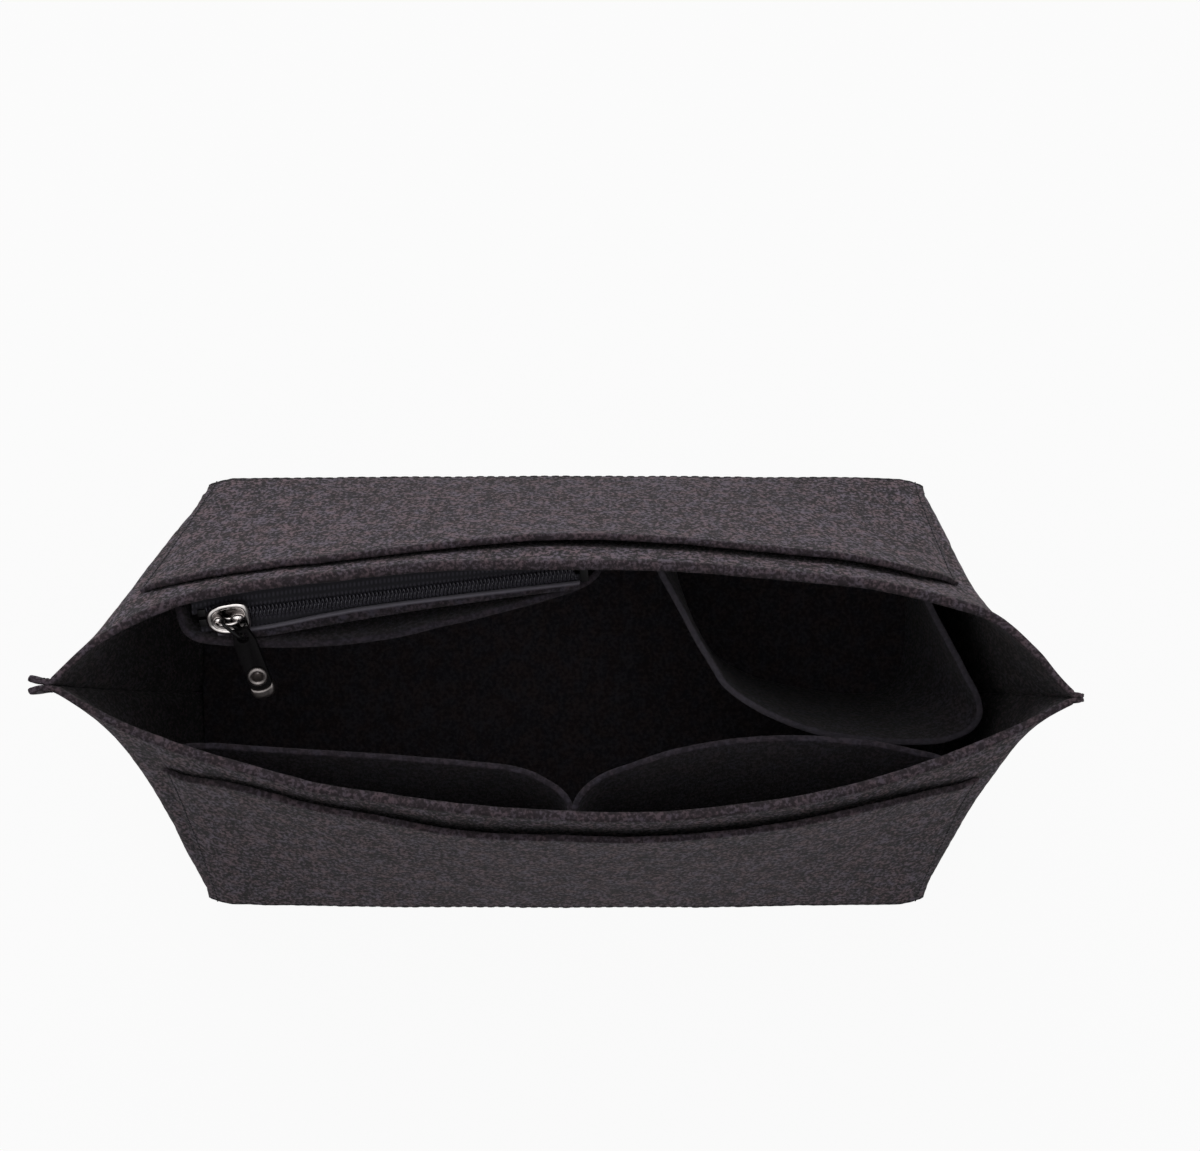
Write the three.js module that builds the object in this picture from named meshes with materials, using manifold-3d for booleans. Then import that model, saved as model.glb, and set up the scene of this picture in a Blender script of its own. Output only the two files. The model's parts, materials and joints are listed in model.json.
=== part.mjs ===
import * as THREE from 'three';
import { mergeVertices } from 'three/addons/utils/BufferGeometryUtils.js';
import Module from 'manifold-3d';

const wasm = await Module();
wasm.setup();

// A felt organizer insert that stands inside a handbag.
// Two wall panels meet in a raw seam at each side, round a stiffened base.
// Millimetres, +Z up, the base centred on the origin, the front toward -Y.

// Felt and clearances
const wallFelt = 3;
const pocketFelt = 2;
const touchGap = 0.35;
const hangGap = 0.7;
const basePlay = 0.6;
const seamGap = 0.3;

// Base
const baseLength = 236;
const baseDepth = 138;
const baseCornerRadius = 5;
const baseSideBow = 3.5;
const basePanelThickness = 3;
const baseBoardThickness = 1.5;
const floorPanelThickness = 2;

// Walls and mouth
const wallSlant = 168.7;
const mouthHalfLength = 143;
const seamFin = 6;
const mouth = {
  back: { depth: 38.3, heading: 46, tipHandle: 44, midHandle: 48, hollow: -1.5 },
  front: { depth: 35, heading: 26, tipHandle: 50, midHandle: 50, hollow: 3 },
};
const gussetMouthShare = 0.1;
const cornerMouthShare = 0.15;
const hollowReachShare = 0.4;
const gussetSteps = 4;
const cornerSteps = 3;
const wallSteps = 10;
const wallRows = 5;

// How finely the curved pieces are stepped
const pocketRunSteps = 10;
const slipRunSteps = 18;
const holderRunSteps = 20;
const zipSteps = 10;
const meetRounds = 12;
const curveSteps = 6;
const holeSteps = 16;
const knobSides = 12;
const rivetSides = 20;
const domeSteps = 4;

// Outer pockets
const outerPocketDrop = 15;
const outerPocketHem = 5;
const outerPocketGape = 2.2;

// Pockets hung inside the walls
const pocketFoot = basePanelThickness + baseBoardThickness + floorPanelThickness + 3 * touchGap;
const pocketRows = 4;

const frontPocket = {
  left: -119, right: 117, notch: 1.5, top: 128, leftReach: 18.5, rightReach: 22.4, footShare: 0.93,
};
const frontLeftShares = [[0, 0.05], [0.04, 0.3], [0.09, 0.52], [0.24, 0.71], [0.47, 0.89], [0.7, 1],
  [0.84, 0.99], [0.93, 0.85], [0.975, 0.62]];
const frontRightShares = [[0.03, 0.52], [0.1, 0.7], [0.22, 0.86], [0.45, 1], [0.58, 0.94],
  [0.7, 0.76], [0.82, 0.47], [0.92, 0.2], [1, 0.04]];

const slipPocket = {
  left: -112, right: 9, aboveZip: 0.5, sag: 5, rightDrop: 6, reach: 22.5, footShare: 0.95,
};
const slipShares = [[0, 0.03], [0.012, 0.3], [0.05, 0.53], [0.17, 0.76], [0.32, 0.96], [0.45, 1],
  [0.6, 0.92], [0.75, 0.79], [0.88, 0.68], [0.96, 0.57], [0.99, 0.3], [1, 0.03]];

const holder = { left: 24, right: 107, top: 108, topReach: 62, footReach: 72 };
const holderTopShares = [[0, 0], [0.046, 0.163], [0.152, 0.526], [0.259, 0.692], [0.4, 0.811],
  [0.543, 0.897], [0.795, 0.976], [0.976, 1], [1.11, 0.95], [1.16, 0.8], [1.113, 0.573], [1, 0.15]];
const holderFootShares = [[0, 0], [0.024, 0.264], [0.096, 0.583], [0.217, 0.806], [0.386, 0.917],
  [0.578, 0.972], [0.771, 1], [0.916, 0.986], [1.012, 0.903], [1.048, 0.722], [1.036, 0.403], [1, 0.05]];

// Zip line: the middle of the closed chain in the plane of the tapes, set below the rim and in
// from the back wall
const zip = { startX: -95.5, startReach: 7.25, endX: 3.4, endReach: 4.65, drop: 19.9, tilt: 32 };
const zipTape = {
  thickness: 0.6, innerEdge: 1.5, leftRun: 10.5, rightRun: 6, wallFlange: 6, panelFlange: 7,
};
const zipPanel = { edge: 5, leg: 4.5, left: -99, right: -4, foot: 60 };
const zipLegShares = [[0, 0.4], [0.15, 0.75], [0.4, 1], [0.75, 0.7], [1, 0.42]];
const chain = { halfWidth: 3, spine: 1.4, overlap: 1, pitch: 2.5, tooth: 0.9, thickness: 1.8, lift: 0.3 };

// Slider and pull
const slider = {
  nose: 5.9, noseHandle: 4.1, tail: 6.6, tailHalf: 3.8, tailRound: 1, shoulder: 4.3, shoulderAt: 1.5,
  topPlate: 1.1, bottomPlate: 0.7, bottomHalf: 3.7, play: 0.35, post: 1.1, postFront: 5.2, postBack: 1.6,
};
const crown = {
  left: -4.3, right: 4.75, foot: 0.9, bar: 0.8, barWidth: 1, leftEnd: 2, rightEnd: 3.2, round: 1.6,
};
const link = { wire: 1, radius: 1.8, straight: 4, along: -0.4, yaw: 40, arcSteps: 6, sides: 8 };
const strap = {
  width: 6.4, neck: 4.4, taper: 4, thickness: 1.8, hole: 3.4, margin: 2.5, length: 21.75, yaw: 10,
};
const rivet = { reach: 13, head: 5.5, dome: 1.3, back: 0.7, shank: 2.4, hole: 3 };
const endCap = { length: 4.1, width: 7, wall: 0.7, nose: 1 };
const stop = { length: 2.5, width: 2.3, wall: 0.7, gap: 0.4 };

const colours = {
  wallFelt: 0x4b4449, pocketFelt: 0x3a363b, floorFelt: 0x2e2b30, board: 0x1c1c1e, tape: 0x17171a,
  coil: 0x26252a, nickel: 0xc9c4c2, lacquer: 0x121214, leather: 0x1a1819,
};

const radians = THREE.MathUtils.degToRad;
const seamHalf = (wallFelt + seamGap) / 2;

function material(colour, roughness, metalness = 0) {
  return new THREE.MeshStandardMaterial({ color: colour, roughness, metalness });
}

const outerFeltMaterial = () => material(colours.wallFelt, 0.95);
const pocketFeltMaterial = () => material(colours.pocketFelt, 0.95);
const tapeMaterial = () => material(colours.tape, 0.85);
const nickelMaterial = () => material(colours.nickel, 0.2, 1);

// Outlines in plan

function mix(a, b, share) {
  return a + (b - a) * share;
}

// Moves each point of an open or closed plan outline to its right-hand side, with mitred corners.
function offsetOutline(points, distance, closed = false) {
  const last = points.length - 1;
  return points.map((point, i) => {
    const before = points[i > 0 ? i - 1 : closed ? last : 0];
    const after = points[i < last ? i + 1 : closed ? 0 : last];
    const into = point.clone().sub(before);
    const out = after.clone().sub(point);
    const a = (into.length() > 0 ? into : out).clone().normalize();
    const b = (out.length() > 0 ? out : into).clone().normalize();
    const normalA = new THREE.Vector2(a.y, -a.x);
    const normalB = new THREE.Vector2(b.y, -b.x);
    const mitre = normalA.clone().add(normalB).normalize();
    return point.clone().addScaledVector(mitre, distance / mitre.dot(normalA));
  });
}

// A smooth run through hand-picked points of shares.
function smoothRun(shares, steps) {
  const knots = shares.map(([along, out]) => new THREE.Vector3(along, out, 0));
  return new THREE.CatmullRomCurve3(knots, false, 'centripetal').getPoints(steps);
}

// A straight-sided run through a table of [place, value], read at one place.
function readShares(shares, place) {
  const next = Math.max(1, shares.findIndex(([at]) => at >= place));
  const [a, b] = [shares[next - 1], shares[next]];
  return mix(a[1], b[1], (place - a[0]) / (b[0] - a[0]));
}

// Closed solids from point grids

function solidFrom(positions, triangles) {
  const geometry = new THREE.BufferGeometry();
  const values = positions.flatMap((p) => [p.x, p.y, p.z]);
  geometry.setAttribute('position', new THREE.Float32BufferAttribute(values, 3));
  let volume = 0;
  for (const [a, b, c] of triangles) {
    volume += positions[a].dot(new THREE.Vector3().crossVectors(positions[b], positions[c]));
  }
  geometry.setIndex(triangles.flatMap(([a, b, c]) => (volume > 0 ? [a, b, c] : [a, c, b])));
  return geometry;
}

// A sheet of cloth between two faces, each a list of rows of points.
function sheetSolid(faceA, faceB) {
  const rows = faceA.length;
  const columns = faceA[0].length;
  const positions = [...faceA.flat(), ...faceB.flat()];
  const at = (side, row, column) => side * rows * columns + row * columns + column;
  const triangles = [];
  const quad = (a, b, c, d) => triangles.push([a, b, c], [a, c, d]);
  for (let row = 0; row + 1 < rows; row += 1) {
    for (let column = 0; column + 1 < columns; column += 1) {
      quad(at(0, row, column), at(0, row, column + 1), at(0, row + 1, column + 1), at(0, row + 1, column));
      quad(at(1, row, column), at(1, row + 1, column), at(1, row + 1, column + 1), at(1, row, column + 1));
    }
    const end = columns - 1;
    quad(at(0, row, 0), at(0, row + 1, 0), at(1, row + 1, 0), at(1, row, 0));
    quad(at(0, row, end), at(1, row, end), at(1, row + 1, end), at(0, row + 1, end));
  }
  for (let column = 0; column + 1 < columns; column += 1) {
    const top = rows - 1;
    quad(at(0, 0, column), at(1, 0, column), at(1, 0, column + 1), at(0, 0, column + 1));
    quad(at(0, top, column), at(0, top, column + 1), at(1, top, column + 1), at(1, top, column));
  }
  return solidFrom(positions, triangles);
}

// A flat plate between two plan outlines of as many points.
function plateSolid(lower, lowerHeight, upper, upperHeight) {
  const count = lower.length;
  const lift = (points, height) => points.map((p) => new THREE.Vector3(p.x, p.y, height));
  const positions = [...lift(lower, lowerHeight), ...lift(upper, upperHeight)];
  const triangles = [];
  for (const [a, b, c] of THREE.ShapeUtils.triangulateShape(lower, [])) {
    triangles.push([c, b, a], [count + a, count + b, count + c]);
  }
  const turn = THREE.ShapeUtils.isClockWise(lower) ? -1 : 1;
  for (let i = 0; i < count; i += 1) {
    const next = (i + count + turn) % count;
    triangles.push([i, next, count + next], [i, count + next, count + i]);
  }
  return solidFrom(positions, triangles);
}

function toManifold(geometry) {
  const bare = geometry.clone();
  bare.deleteAttribute('normal');
  bare.deleteAttribute('uv');
  const merged = mergeVertices(bare);
  return new wasm.Manifold(new wasm.Mesh({
    numProp: 3,
    vertProperties: new Float32Array(merged.attributes.position.array),
    triVerts: new Uint32Array(merged.index.array),
  }));
}

function fromManifold(manifold) {
  const mesh = manifold.getMesh();
  const geometry = new THREE.BufferGeometry();
  geometry.setAttribute('position', new THREE.BufferAttribute(new Float32Array(mesh.vertProperties), 3));
  geometry.setIndex(new THREE.BufferAttribute(new Uint32Array(mesh.triVerts), 1));
  return geometry;
}

function box(fromX, toX, fromY, toY, fromZ, toZ) {
  const geometry = new THREE.BoxGeometry(toX - fromX, toY - fromY, toZ - fromZ);
  return geometry.translate((fromX + toX) / 2, (fromY + toY) / 2, (fromZ + toZ) / 2);
}

function slab(shape, fromZ, toZ, curveSegments = curveSteps) {
  const depth = toZ - fromZ;
  const geometry = new THREE.ExtrudeGeometry(shape, { depth, bevelEnabled: false, curveSegments });
  return geometry.translate(0, 0, fromZ);
}

// Walls

const midBase = {
  halfLength: (baseLength - wallFelt) / 2,
  halfDepth: (baseDepth - wallFelt) / 2,
  radius: baseCornerRadius - wallFelt / 2,
};

// One quadrant of a wall panel, from the raw fin at the side seam to the middle of the wall.
// Each station pairs a point of the base line with a point of the mouth line.
function wallStations(side) {
  const { depth, heading, tipHandle, midHandle } = mouth[side];
  const mouthLine = new THREE.CubicBezierCurve(
    new THREE.Vector2(mouthHalfLength, seamHalf),
    new THREE.Vector2(
      mouthHalfLength - tipHandle * Math.cos(radians(heading)),
      seamHalf + tipHandle * Math.sin(radians(heading)),
    ),
    new THREE.Vector2(midHandle, depth - wallFelt / 2),
    new THREE.Vector2(0, depth - wallFelt / 2),
  );
  const seamX = midBase.halfLength + baseSideBow;
  const cornerStart = midBase.halfDepth - midBase.radius;
  const stations = [{
    base: new THREE.Vector2(seamX + seamFin, seamHalf),
    mouth: new THREE.Vector2(mouthHalfLength + seamFin, seamHalf),
    hollow: 0,
  }];
  const add = (x, y, mouthShare, hollow) => {
    stations.push({ base: new THREE.Vector2(x, y), mouth: mouthLine.getPointAt(mouthShare), hollow });
  };
  for (let i = 0; i <= gussetSteps; i += 1) {
    const share = i / gussetSteps;
    const x = midBase.halfLength + baseSideBow * (1 - share * share);
    add(x, mix(seamHalf, cornerStart, share), gussetMouthShare * share, share);
  }
  for (let i = 1; i <= cornerSteps; i += 1) {
    const turn = (i / cornerSteps) * (Math.PI / 2);
    const x = midBase.halfLength - midBase.radius * (1 - Math.cos(turn));
    const y = cornerStart + midBase.radius * Math.sin(turn);
    add(x, y, mix(gussetMouthShare, cornerMouthShare, i / cornerSteps), 1);
  }
  for (let i = 1; i <= wallSteps; i += 1) {
    const share = i / wallSteps;
    const x = (midBase.halfLength - midBase.radius) * (1 - share);
    add(x, midBase.halfDepth, mix(cornerMouthShare, 1, share), Math.max(0, 1 - share / hollowReachShare));
  }
  return stations;
}

const wallShares = Array.from({ length: wallRows + 1 }, (_, i) => i / wallRows);

// A face of a wall panel, as rows of points over one quadrant. distanceAt gives how far the face
// lies outside the panel's middle surface, at a station and at a share of the height.
// The heights follow from felt of one width bent between the base line and the mouth line.
function wallQuadrant(side, distanceAt) {
  const stations = wallStations(side);
  return wallShares.map((share) => {
    const straight = stations.map((s) => s.base.clone().lerp(s.mouth, share));
    const inward = offsetOutline(straight, -1).map((p, i) => p.sub(straight[i]));
    const push = (i) => mouth[side].hollow * stations[i].hollow * 4 * share * (1 - share);
    const bent = straight.map((p, i) => p.clone().addScaledVector(inward[i], push(i)));
    const outward = offsetOutline(bent, 1).map((p, i) => p.sub(bent[i]));
    return bent.map((p, i) => {
      const { base, mouth: rim } = stations[i];
      const height = Math.sqrt(wallSlant ** 2 - base.distanceToSquared(rim)) * share;
      const place = p.clone().addScaledVector(outward[i], distanceAt(i, share));
      return new THREE.Vector3(place.x, place.y, height);
    });
  });
}

// Both halves of a wall panel's face, from the left seam to the right one.
function wallFace(side, distanceAt, firstStation = 0) {
  const sign = side === 'back' ? 1 : -1;
  return wallQuadrant(side, distanceAt).map((row) => {
    const right = row.slice(firstStation).map((p) => new THREE.Vector3(p.x, p.y * sign, p.z));
    const left = right.slice(0, -1).map((p) => new THREE.Vector3(-p.x, p.y, p.z));
    return [...left, ...right.reverse()];
  });
}

function evenShares(from, to, rows) {
  return Array.from({ length: rows + 1 }, (_, i) => mix(from, to, i / rows));
}

// The rows of a face between two shares of its height, with a cut row at each end.
function cutRows(face, from, to) {
  const rowAt = (share) => {
    const row = Math.min(wallRows - 1, Math.floor(share * wallRows));
    return face[row].map((p, i) => p.clone().lerp(face[row + 1][i], share * wallRows - row));
  };
  const between = face.filter((_, i) => wallShares[i] > from && wallShares[i] < to);
  return [rowAt(from), ...between, rowAt(to)];
}

const innerFace = {
  back: wallFace('back', () => -wallFelt / 2),
  front: wallFace('front', () => -wallFelt / 2),
};

// The plan line of a wall's inner face at one height.
function innerLine(side, height) {
  const face = innerFace[side];
  return face[0].map((_, column) => {
    const row = Math.min(wallRows - 1, face.findIndex((r) => r[column].z > height) - 1);
    const a = face[Math.max(0, row)][column];
    const b = face[Math.max(0, row) + 1][column];
    const point = a.clone().lerp(b, (height - a.z) / (b.z - a.z));
    return new THREE.Vector2(point.x, point.y);
  });
}

// How far the inner face of a wall lies from the middle plane, at one place along it.
function wallDepth(side, x, height) {
  const line = innerLine(side, height).slice(2, -2);
  const next = Math.max(1, line.findIndex((p) => p.x >= x));
  const [a, b] = [line[next - 1], line[next]];
  return Math.abs(mix(a.y, b.y, (x - a.x) / (b.x - a.x)));
}

const backRim = innerFace.back[wallRows];
const zipHeight = backRim[(backRim.length - 1) / 2].z - zip.drop;

function wallPanel(side) {
  return sheetSolid(innerFace[side], wallFace(side, () => wallFelt / 2));
}

// Base

// The plan outline inside both walls at one height, clear of their felt.
function insideOutline(height) {
  const back = innerLine('back', height).slice(1, -1);
  const front = innerLine('front', height).slice(1, -1).reverse();
  return offsetOutline([...back, ...front], basePlay, true);
}

function basePlate(bottom, thickness) {
  return plateSolid(insideOutline(bottom), bottom, insideOutline(bottom + thickness), bottom + thickness);
}

// Outer pockets

const straightStation = 1 + gussetSteps + cornerSteps;

// A flat felt sheet over the straight of a wall, sewn at its sides and foot, gaping at its top.
function outerPocket(side) {
  const top = 1 - outerPocketDrop / wallSlant;
  const foot = outerPocketHem / wallSlant;
  const count = wallStations(side).length - 1;
  const gap = (i, share) => {
    const middle = Math.sin(((i - straightStation) / (count - straightStation)) * (Math.PI / 2));
    return hangGap + outerPocketGape * Math.max(0, middle) * (share / top) ** 2;
  };
  const inner = wallFace(side, (i, share) => wallFelt / 2 + gap(i, share), straightStation);
  const outer = wallFace(side, (i, share) => wallFelt / 2 + gap(i, share) + pocketFelt, straightStation);
  return sheetSolid(cutRows(inner, foot, top), cutRows(outer, foot, top));
}

// Inner pockets

// A sheet hung inside a wall. Its run lists [x, reach at the top edge] from left to right, and it
// comes down to the wall's foot in a straight line. topAt gives the height of the top edge.
function hungSheet(side, run, footShare, topAt) {
  const sign = side === 'back' ? 1 : -1;
  const faces = [[], []];
  for (const share of evenShares(0, 1, pocketRows)) {
    const heights = run.map(([x]) => mix(pocketFoot, topAt(x), share));
    const line = run.map(([topX, reach], i) => {
      const x = topX * mix(footShare, 1, share);
      const reachHere = hangGap + Math.max(0, reach - hangGap) * share;
      return new THREE.Vector2(x, sign * (wallDepth(side, x, heights[i]) - reachHere));
    });
    const room = offsetOutline(line, sign * pocketFelt);
    faces[0].push(line.map((p, i) => new THREE.Vector3(p.x, p.y, heights[i])));
    faces[1].push(room.map((p, i) => new THREE.Vector3(p.x, p.y, heights[i])));
  }
  return sheetSolid(faces[0], faces[1]);
}

function frontInnerPocket() {
  const { left, right, notch, top, leftReach, rightReach, footShare } = frontPocket;
  const runOf = (shares, from, to, reach) => (
    smoothRun(shares, pocketRunSteps).map((p) => [mix(from, to, p.x), p.y * reach])
  );
  const leftRun = runOf(frontLeftShares, left, notch, leftReach);
  const rightRun = runOf(frontRightShares, notch, right, rightReach);
  return hungSheet('front', [...leftRun, [notch, hangGap], ...rightRun], footShare, () => top);
}

function backSlipPocket() {
  const { left, right, aboveZip, sag, rightDrop, reach, footShare } = slipPocket;
  const run = smoothRun(slipShares, slipRunSteps).map((p) => [mix(left, right, p.x), p.y * reach]);
  const along = (x) => (x - left) / (right - left);
  const top = zipHeight + aboveZip;
  const topAt = (x) => top - sag * Math.sin(along(x) * Math.PI) ** 2 - rightDrop * along(x) ** 2;
  return hungSheet('back', run, footShare, topAt);
}

// A felt loop that stands off the back wall and holds a bottle upright.
function bottleHolder() {
  const { left, right, top, topReach, footReach } = holder;
  const topRun = smoothRun(holderTopShares, holderRunSteps);
  const footRun = smoothRun(holderFootShares, holderRunSteps);
  const faces = [[], []];
  for (const share of evenShares(0, 1, pocketRows)) {
    const height = mix(pocketFoot, top, share);
    const limitAt = (x) => wallDepth('back', x, height) - hangGap;
    const wallLine = limitAt(left);
    const clearOfWall = (p) => new THREE.Vector2(p.x, Math.min(p.y, limitAt(p.x)));
    const line = topRun.map((p, i) => {
      const x = mix(left, right, mix(footRun[i].x, p.x, share));
      const y = wallLine - mix(footReach * footRun[i].y, topReach * p.y, share);
      return clearOfWall(new THREE.Vector2(x, y));
    });
    const outside = offsetOutline(line, pocketFelt).map(clearOfWall);
    faces[0].push(line.map((p) => new THREE.Vector3(p.x, p.y, height)));
    faces[1].push(outside.map((p) => new THREE.Vector3(p.x, p.y, height)));
  }
  return sheetSolid(faces[0], faces[1]);
}

// Zip frame: x along the chain, y across it toward the wall, z out of the tapes' upper face

function zipPlace(x, reach) {
  return new THREE.Vector3(x, wallDepth('back', x, zipHeight) - reach, zipHeight);
}

const zipOrigin = zipPlace(zip.startX, zip.startReach);
const zipAlong = zipPlace(zip.endX, zip.endReach).sub(zipOrigin);
const chainLength = zipAlong.length();
zipAlong.normalize();
const zipAcross = new THREE.Vector3(-zipAlong.y, zipAlong.x, 0).multiplyScalar(Math.cos(radians(zip.tilt)));
zipAcross.z = Math.sin(radians(zip.tilt));
const zipUp = new THREE.Vector3().crossVectors(zipAlong, zipAcross);

const zipGroup = new THREE.Group();
zipGroup.position.copy(zipOrigin);
zipGroup.quaternion.setFromRotationMatrix(new THREE.Matrix4().makeBasis(zipAlong, zipAcross, zipUp));

// The point of a line that runs with the chain, where it crosses one x of the whole object.
function zipPointAt(x, across, up) {
  const along = (x - zip.startX - across * zipAcross.x - up * zipUp.x) / zipAlong.x;
  return zipOrigin.clone()
    .addScaledVector(zipAlong, along)
    .addScaledVector(zipAcross, across)
    .addScaledVector(zipUp, up);
}

// A strip along the zip from profiles in planes across the object, each moved by two distances.
function stripSolid(stations, profileAt, near, far) {
  const faces = [near, far].map((distance) => stations.map((x) => {
    const profile = profileAt(x).map((p) => new THREE.Vector2(p.y, p.z));
    return offsetOutline(profile, distance).map((p) => new THREE.Vector3(x, p.x, p.y));
  }));
  return sheetSolid(faces[0], faces[1]);
}

const panelLift = zipTape.thickness / 2 + touchGap + pocketFelt;

// The room face of the zip pocket: a leg beside the chain, a knee, and a fall to the wall.
function zipPanelProfile(x) {
  const share = THREE.MathUtils.clamp((x - zipPanel.left) / (zipPanel.right - zipPanel.left), 0, 1);
  const leg = zipPanel.leg * readShares(zipLegShares, share);
  const edge = zipPointAt(x, -zipPanel.edge, panelLift);
  const knee = zipPointAt(x, -zipPanel.edge - leg, panelLift);
  const footDepth = wallDepth('back', x, zipPanel.foot) - 2 * touchGap - pocketFelt;
  const foot = new THREE.Vector3(x, footDepth, zipPanel.foot);
  return { edge, knee, foot };
}

function zipPocketPanel() {
  const profileAt = (x) => {
    const { edge, knee, foot } = zipPanelProfile(x);
    return [edge, knee, knee.clone().lerp(foot, 1 / 3), knee.clone().lerp(foot, 2 / 3), foot];
  };
  return stripSolid(evenShares(zipPanel.left, zipPanel.right, zipSteps), profileAt, 0, -pocketFelt);
}

const tapeLeft = zip.startX - zipTape.leftRun;
const tapeRight = zip.endX + zipTape.rightRun;

function lowerTape() {
  const profileAt = (x) => {
    const { knee, foot } = zipPanelProfile(x);
    const start = zipPointAt(x, -zipTape.innerEdge, panelLift);
    const fall = foot.clone().sub(knee).normalize();
    return [start, knee, knee.clone().addScaledVector(fall, zipTape.panelFlange)];
  };
  const near = -(pocketFelt + touchGap);
  const far = near - zipTape.thickness;
  return stripSolid(evenShares(zipPanel.left, zipPanel.right, zipSteps), profileAt, near, far);
}

// The upper tape runs from the chain to the wall and turns up along it.
function upperTape() {
  const half = zipTape.thickness / 2;
  const profileAt = (x) => {
    const start = zipPointAt(x, zipTape.innerEdge, 0);
    const slope = zipAcross.z / zipAcross.y;
    const clear = touchGap + half;
    let meet = start.clone();
    for (let i = 0; i < meetRounds; i += 1) {
      const wall = wallDepth('back', x, meet.z) - clear;
      meet = new THREE.Vector3(x, wall, start.z + (wall - start.y) * slope);
    }
    const top = meet.z + zipTape.wallFlange;
    return [start, meet, new THREE.Vector3(x, wallDepth('back', x, top) - clear, top)];
  };
  return stripSolid(evenShares(tapeLeft, tapeRight, zipSteps), profileAt, -half, half);
}

const coilBottom = zipTape.thickness / 2 + chain.lift;
const coilTop = coilBottom + chain.thickness;
const coilStart = -slider.postBack + touchGap;

// One side's row of coils: a spine over the tape's edge with teeth that reach past the middle.
function coilRow(sign) {
  const shape = new THREE.Shape();
  const phase = sign > 0 ? 0 : chain.pitch / 2;
  const teeth = Math.floor((chainLength - coilStart - phase) / chain.pitch);
  const end = coilStart + phase + teeth * chain.pitch;
  const spineEdge = sign * (chain.halfWidth - chain.spine);
  shape.moveTo(coilStart, sign * chain.halfWidth);
  shape.lineTo(coilStart, spineEdge);
  for (let i = 0; i < teeth; i += 1) {
    const start = coilStart + phase + i * chain.pitch + (chain.pitch / 2 - chain.tooth) / 2;
    shape.lineTo(start, spineEdge);
    shape.lineTo(start, -sign * chain.overlap);
    shape.lineTo(start + chain.tooth, -sign * chain.overlap);
    shape.lineTo(start + chain.tooth, spineEdge);
  }
  shape.lineTo(end, spineEdge);
  shape.lineTo(end, sign * chain.halfWidth);
  return slab(shape, coilBottom, coilTop);
}

// A crimped stop round the inner edge of one tape, left of the closed slider.
function topStop(sign) {
  const half = zipTape.thickness / 2 + touchGap;
  const inner = zipTape.innerEdge - touchGap - stop.wall;
  const right = -slider.nose - stop.gap;
  const outer = half + stop.wall;
  const body = toManifold(box(right - stop.length, right, inner, inner + stop.width, -outer, outer));
  const slot = toManifold(box(right - 2 * stop.length, right + stop.length,
    inner + stop.wall, inner + 2 * stop.width, -half, half));
  const geometry = fromManifold(body.subtract(slot));
  return sign > 0 ? geometry : geometry.rotateX(Math.PI);
}

// The stop at the closed end of the chain, an H that grips both tapes.
function bottomStop() {
  const left = chainLength + touchGap;
  const right = left + stop.length;
  const half = zipTape.thickness / 2 + touchGap;
  const web = zipTape.innerEdge - touchGap;
  const top = box(left, right, -chain.halfWidth, chain.halfWidth, half, half + stop.wall);
  const bottom = box(left, right, -chain.halfWidth, chain.halfWidth, -half - stop.wall, -half);
  const middle = box(left, right, -web, web, -half - stop.wall / 2, half + stop.wall / 2);
  return fromManifold(toManifold(top).add(toManifold(bottom)).add(toManifold(middle)));
}

// Slider

const plateBottom = coilTop + slider.play;
const plateTop = plateBottom + slider.topPlate;
const slotHalf = zipTape.thickness / 2 + slider.play;

// The slider's plan: a blunt nose toward the open end, widest at the shoulders, square at the tail.
function sliderOutline(halfWidthShare = 1) {
  const shoulder = slider.shoulder * halfWidthShare;
  const tail = slider.tailHalf * halfWidthShare;
  const shape = new THREE.Shape();
  shape.moveTo(-slider.nose, 0);
  shape.bezierCurveTo(
    -slider.nose, -shoulder / 2, -slider.noseHandle, -shoulder, -slider.shoulderAt, -shoulder,
  );
  shape.lineTo(slider.tail - slider.tailRound, -tail);
  shape.quadraticCurveTo(slider.tail, -tail, slider.tail, -tail + slider.tailRound);
  shape.lineTo(slider.tail, tail - slider.tailRound);
  shape.quadraticCurveTo(slider.tail, tail, slider.tail - slider.tailRound, tail);
  shape.lineTo(-slider.shoulderAt, shoulder);
  shape.bezierCurveTo(-slider.noseHandle, shoulder, -slider.nose, shoulder / 2, -slider.nose, 0);
  return shape;
}

function sliderBody() {
  const top = toManifold(slab(sliderOutline(), slotHalf, plateTop));
  const inside = chain.halfWidth + slider.play;
  const channel = toManifold(box(-2 * slider.nose, 2 * slider.tail, -inside, inside, 0, plateBottom));
  const bottomShare = slider.bottomHalf / slider.shoulder;
  const bottom = toManifold(slab(sliderOutline(bottomShare), -slotHalf - slider.bottomPlate, -slotHalf));
  const wedge = new THREE.Shape();
  const middle = (slider.postFront + slider.postBack) / 2;
  wedge.moveTo(-slider.postFront, 0);
  wedge.lineTo(-middle, -slider.post);
  wedge.lineTo(-slider.postBack, 0);
  wedge.lineTo(-middle, slider.post);
  const postFoot = -slotHalf - slider.bottomPlate / 2;
  const post = toManifold(slab(wedge, postFoot, plateBottom + slider.topPlate / 2));
  return fromManifold(top.subtract(channel).add(bottom).add(post));
}

const barHeight = plateTop + link.radius + link.wire / 2 + touchGap;

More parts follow.
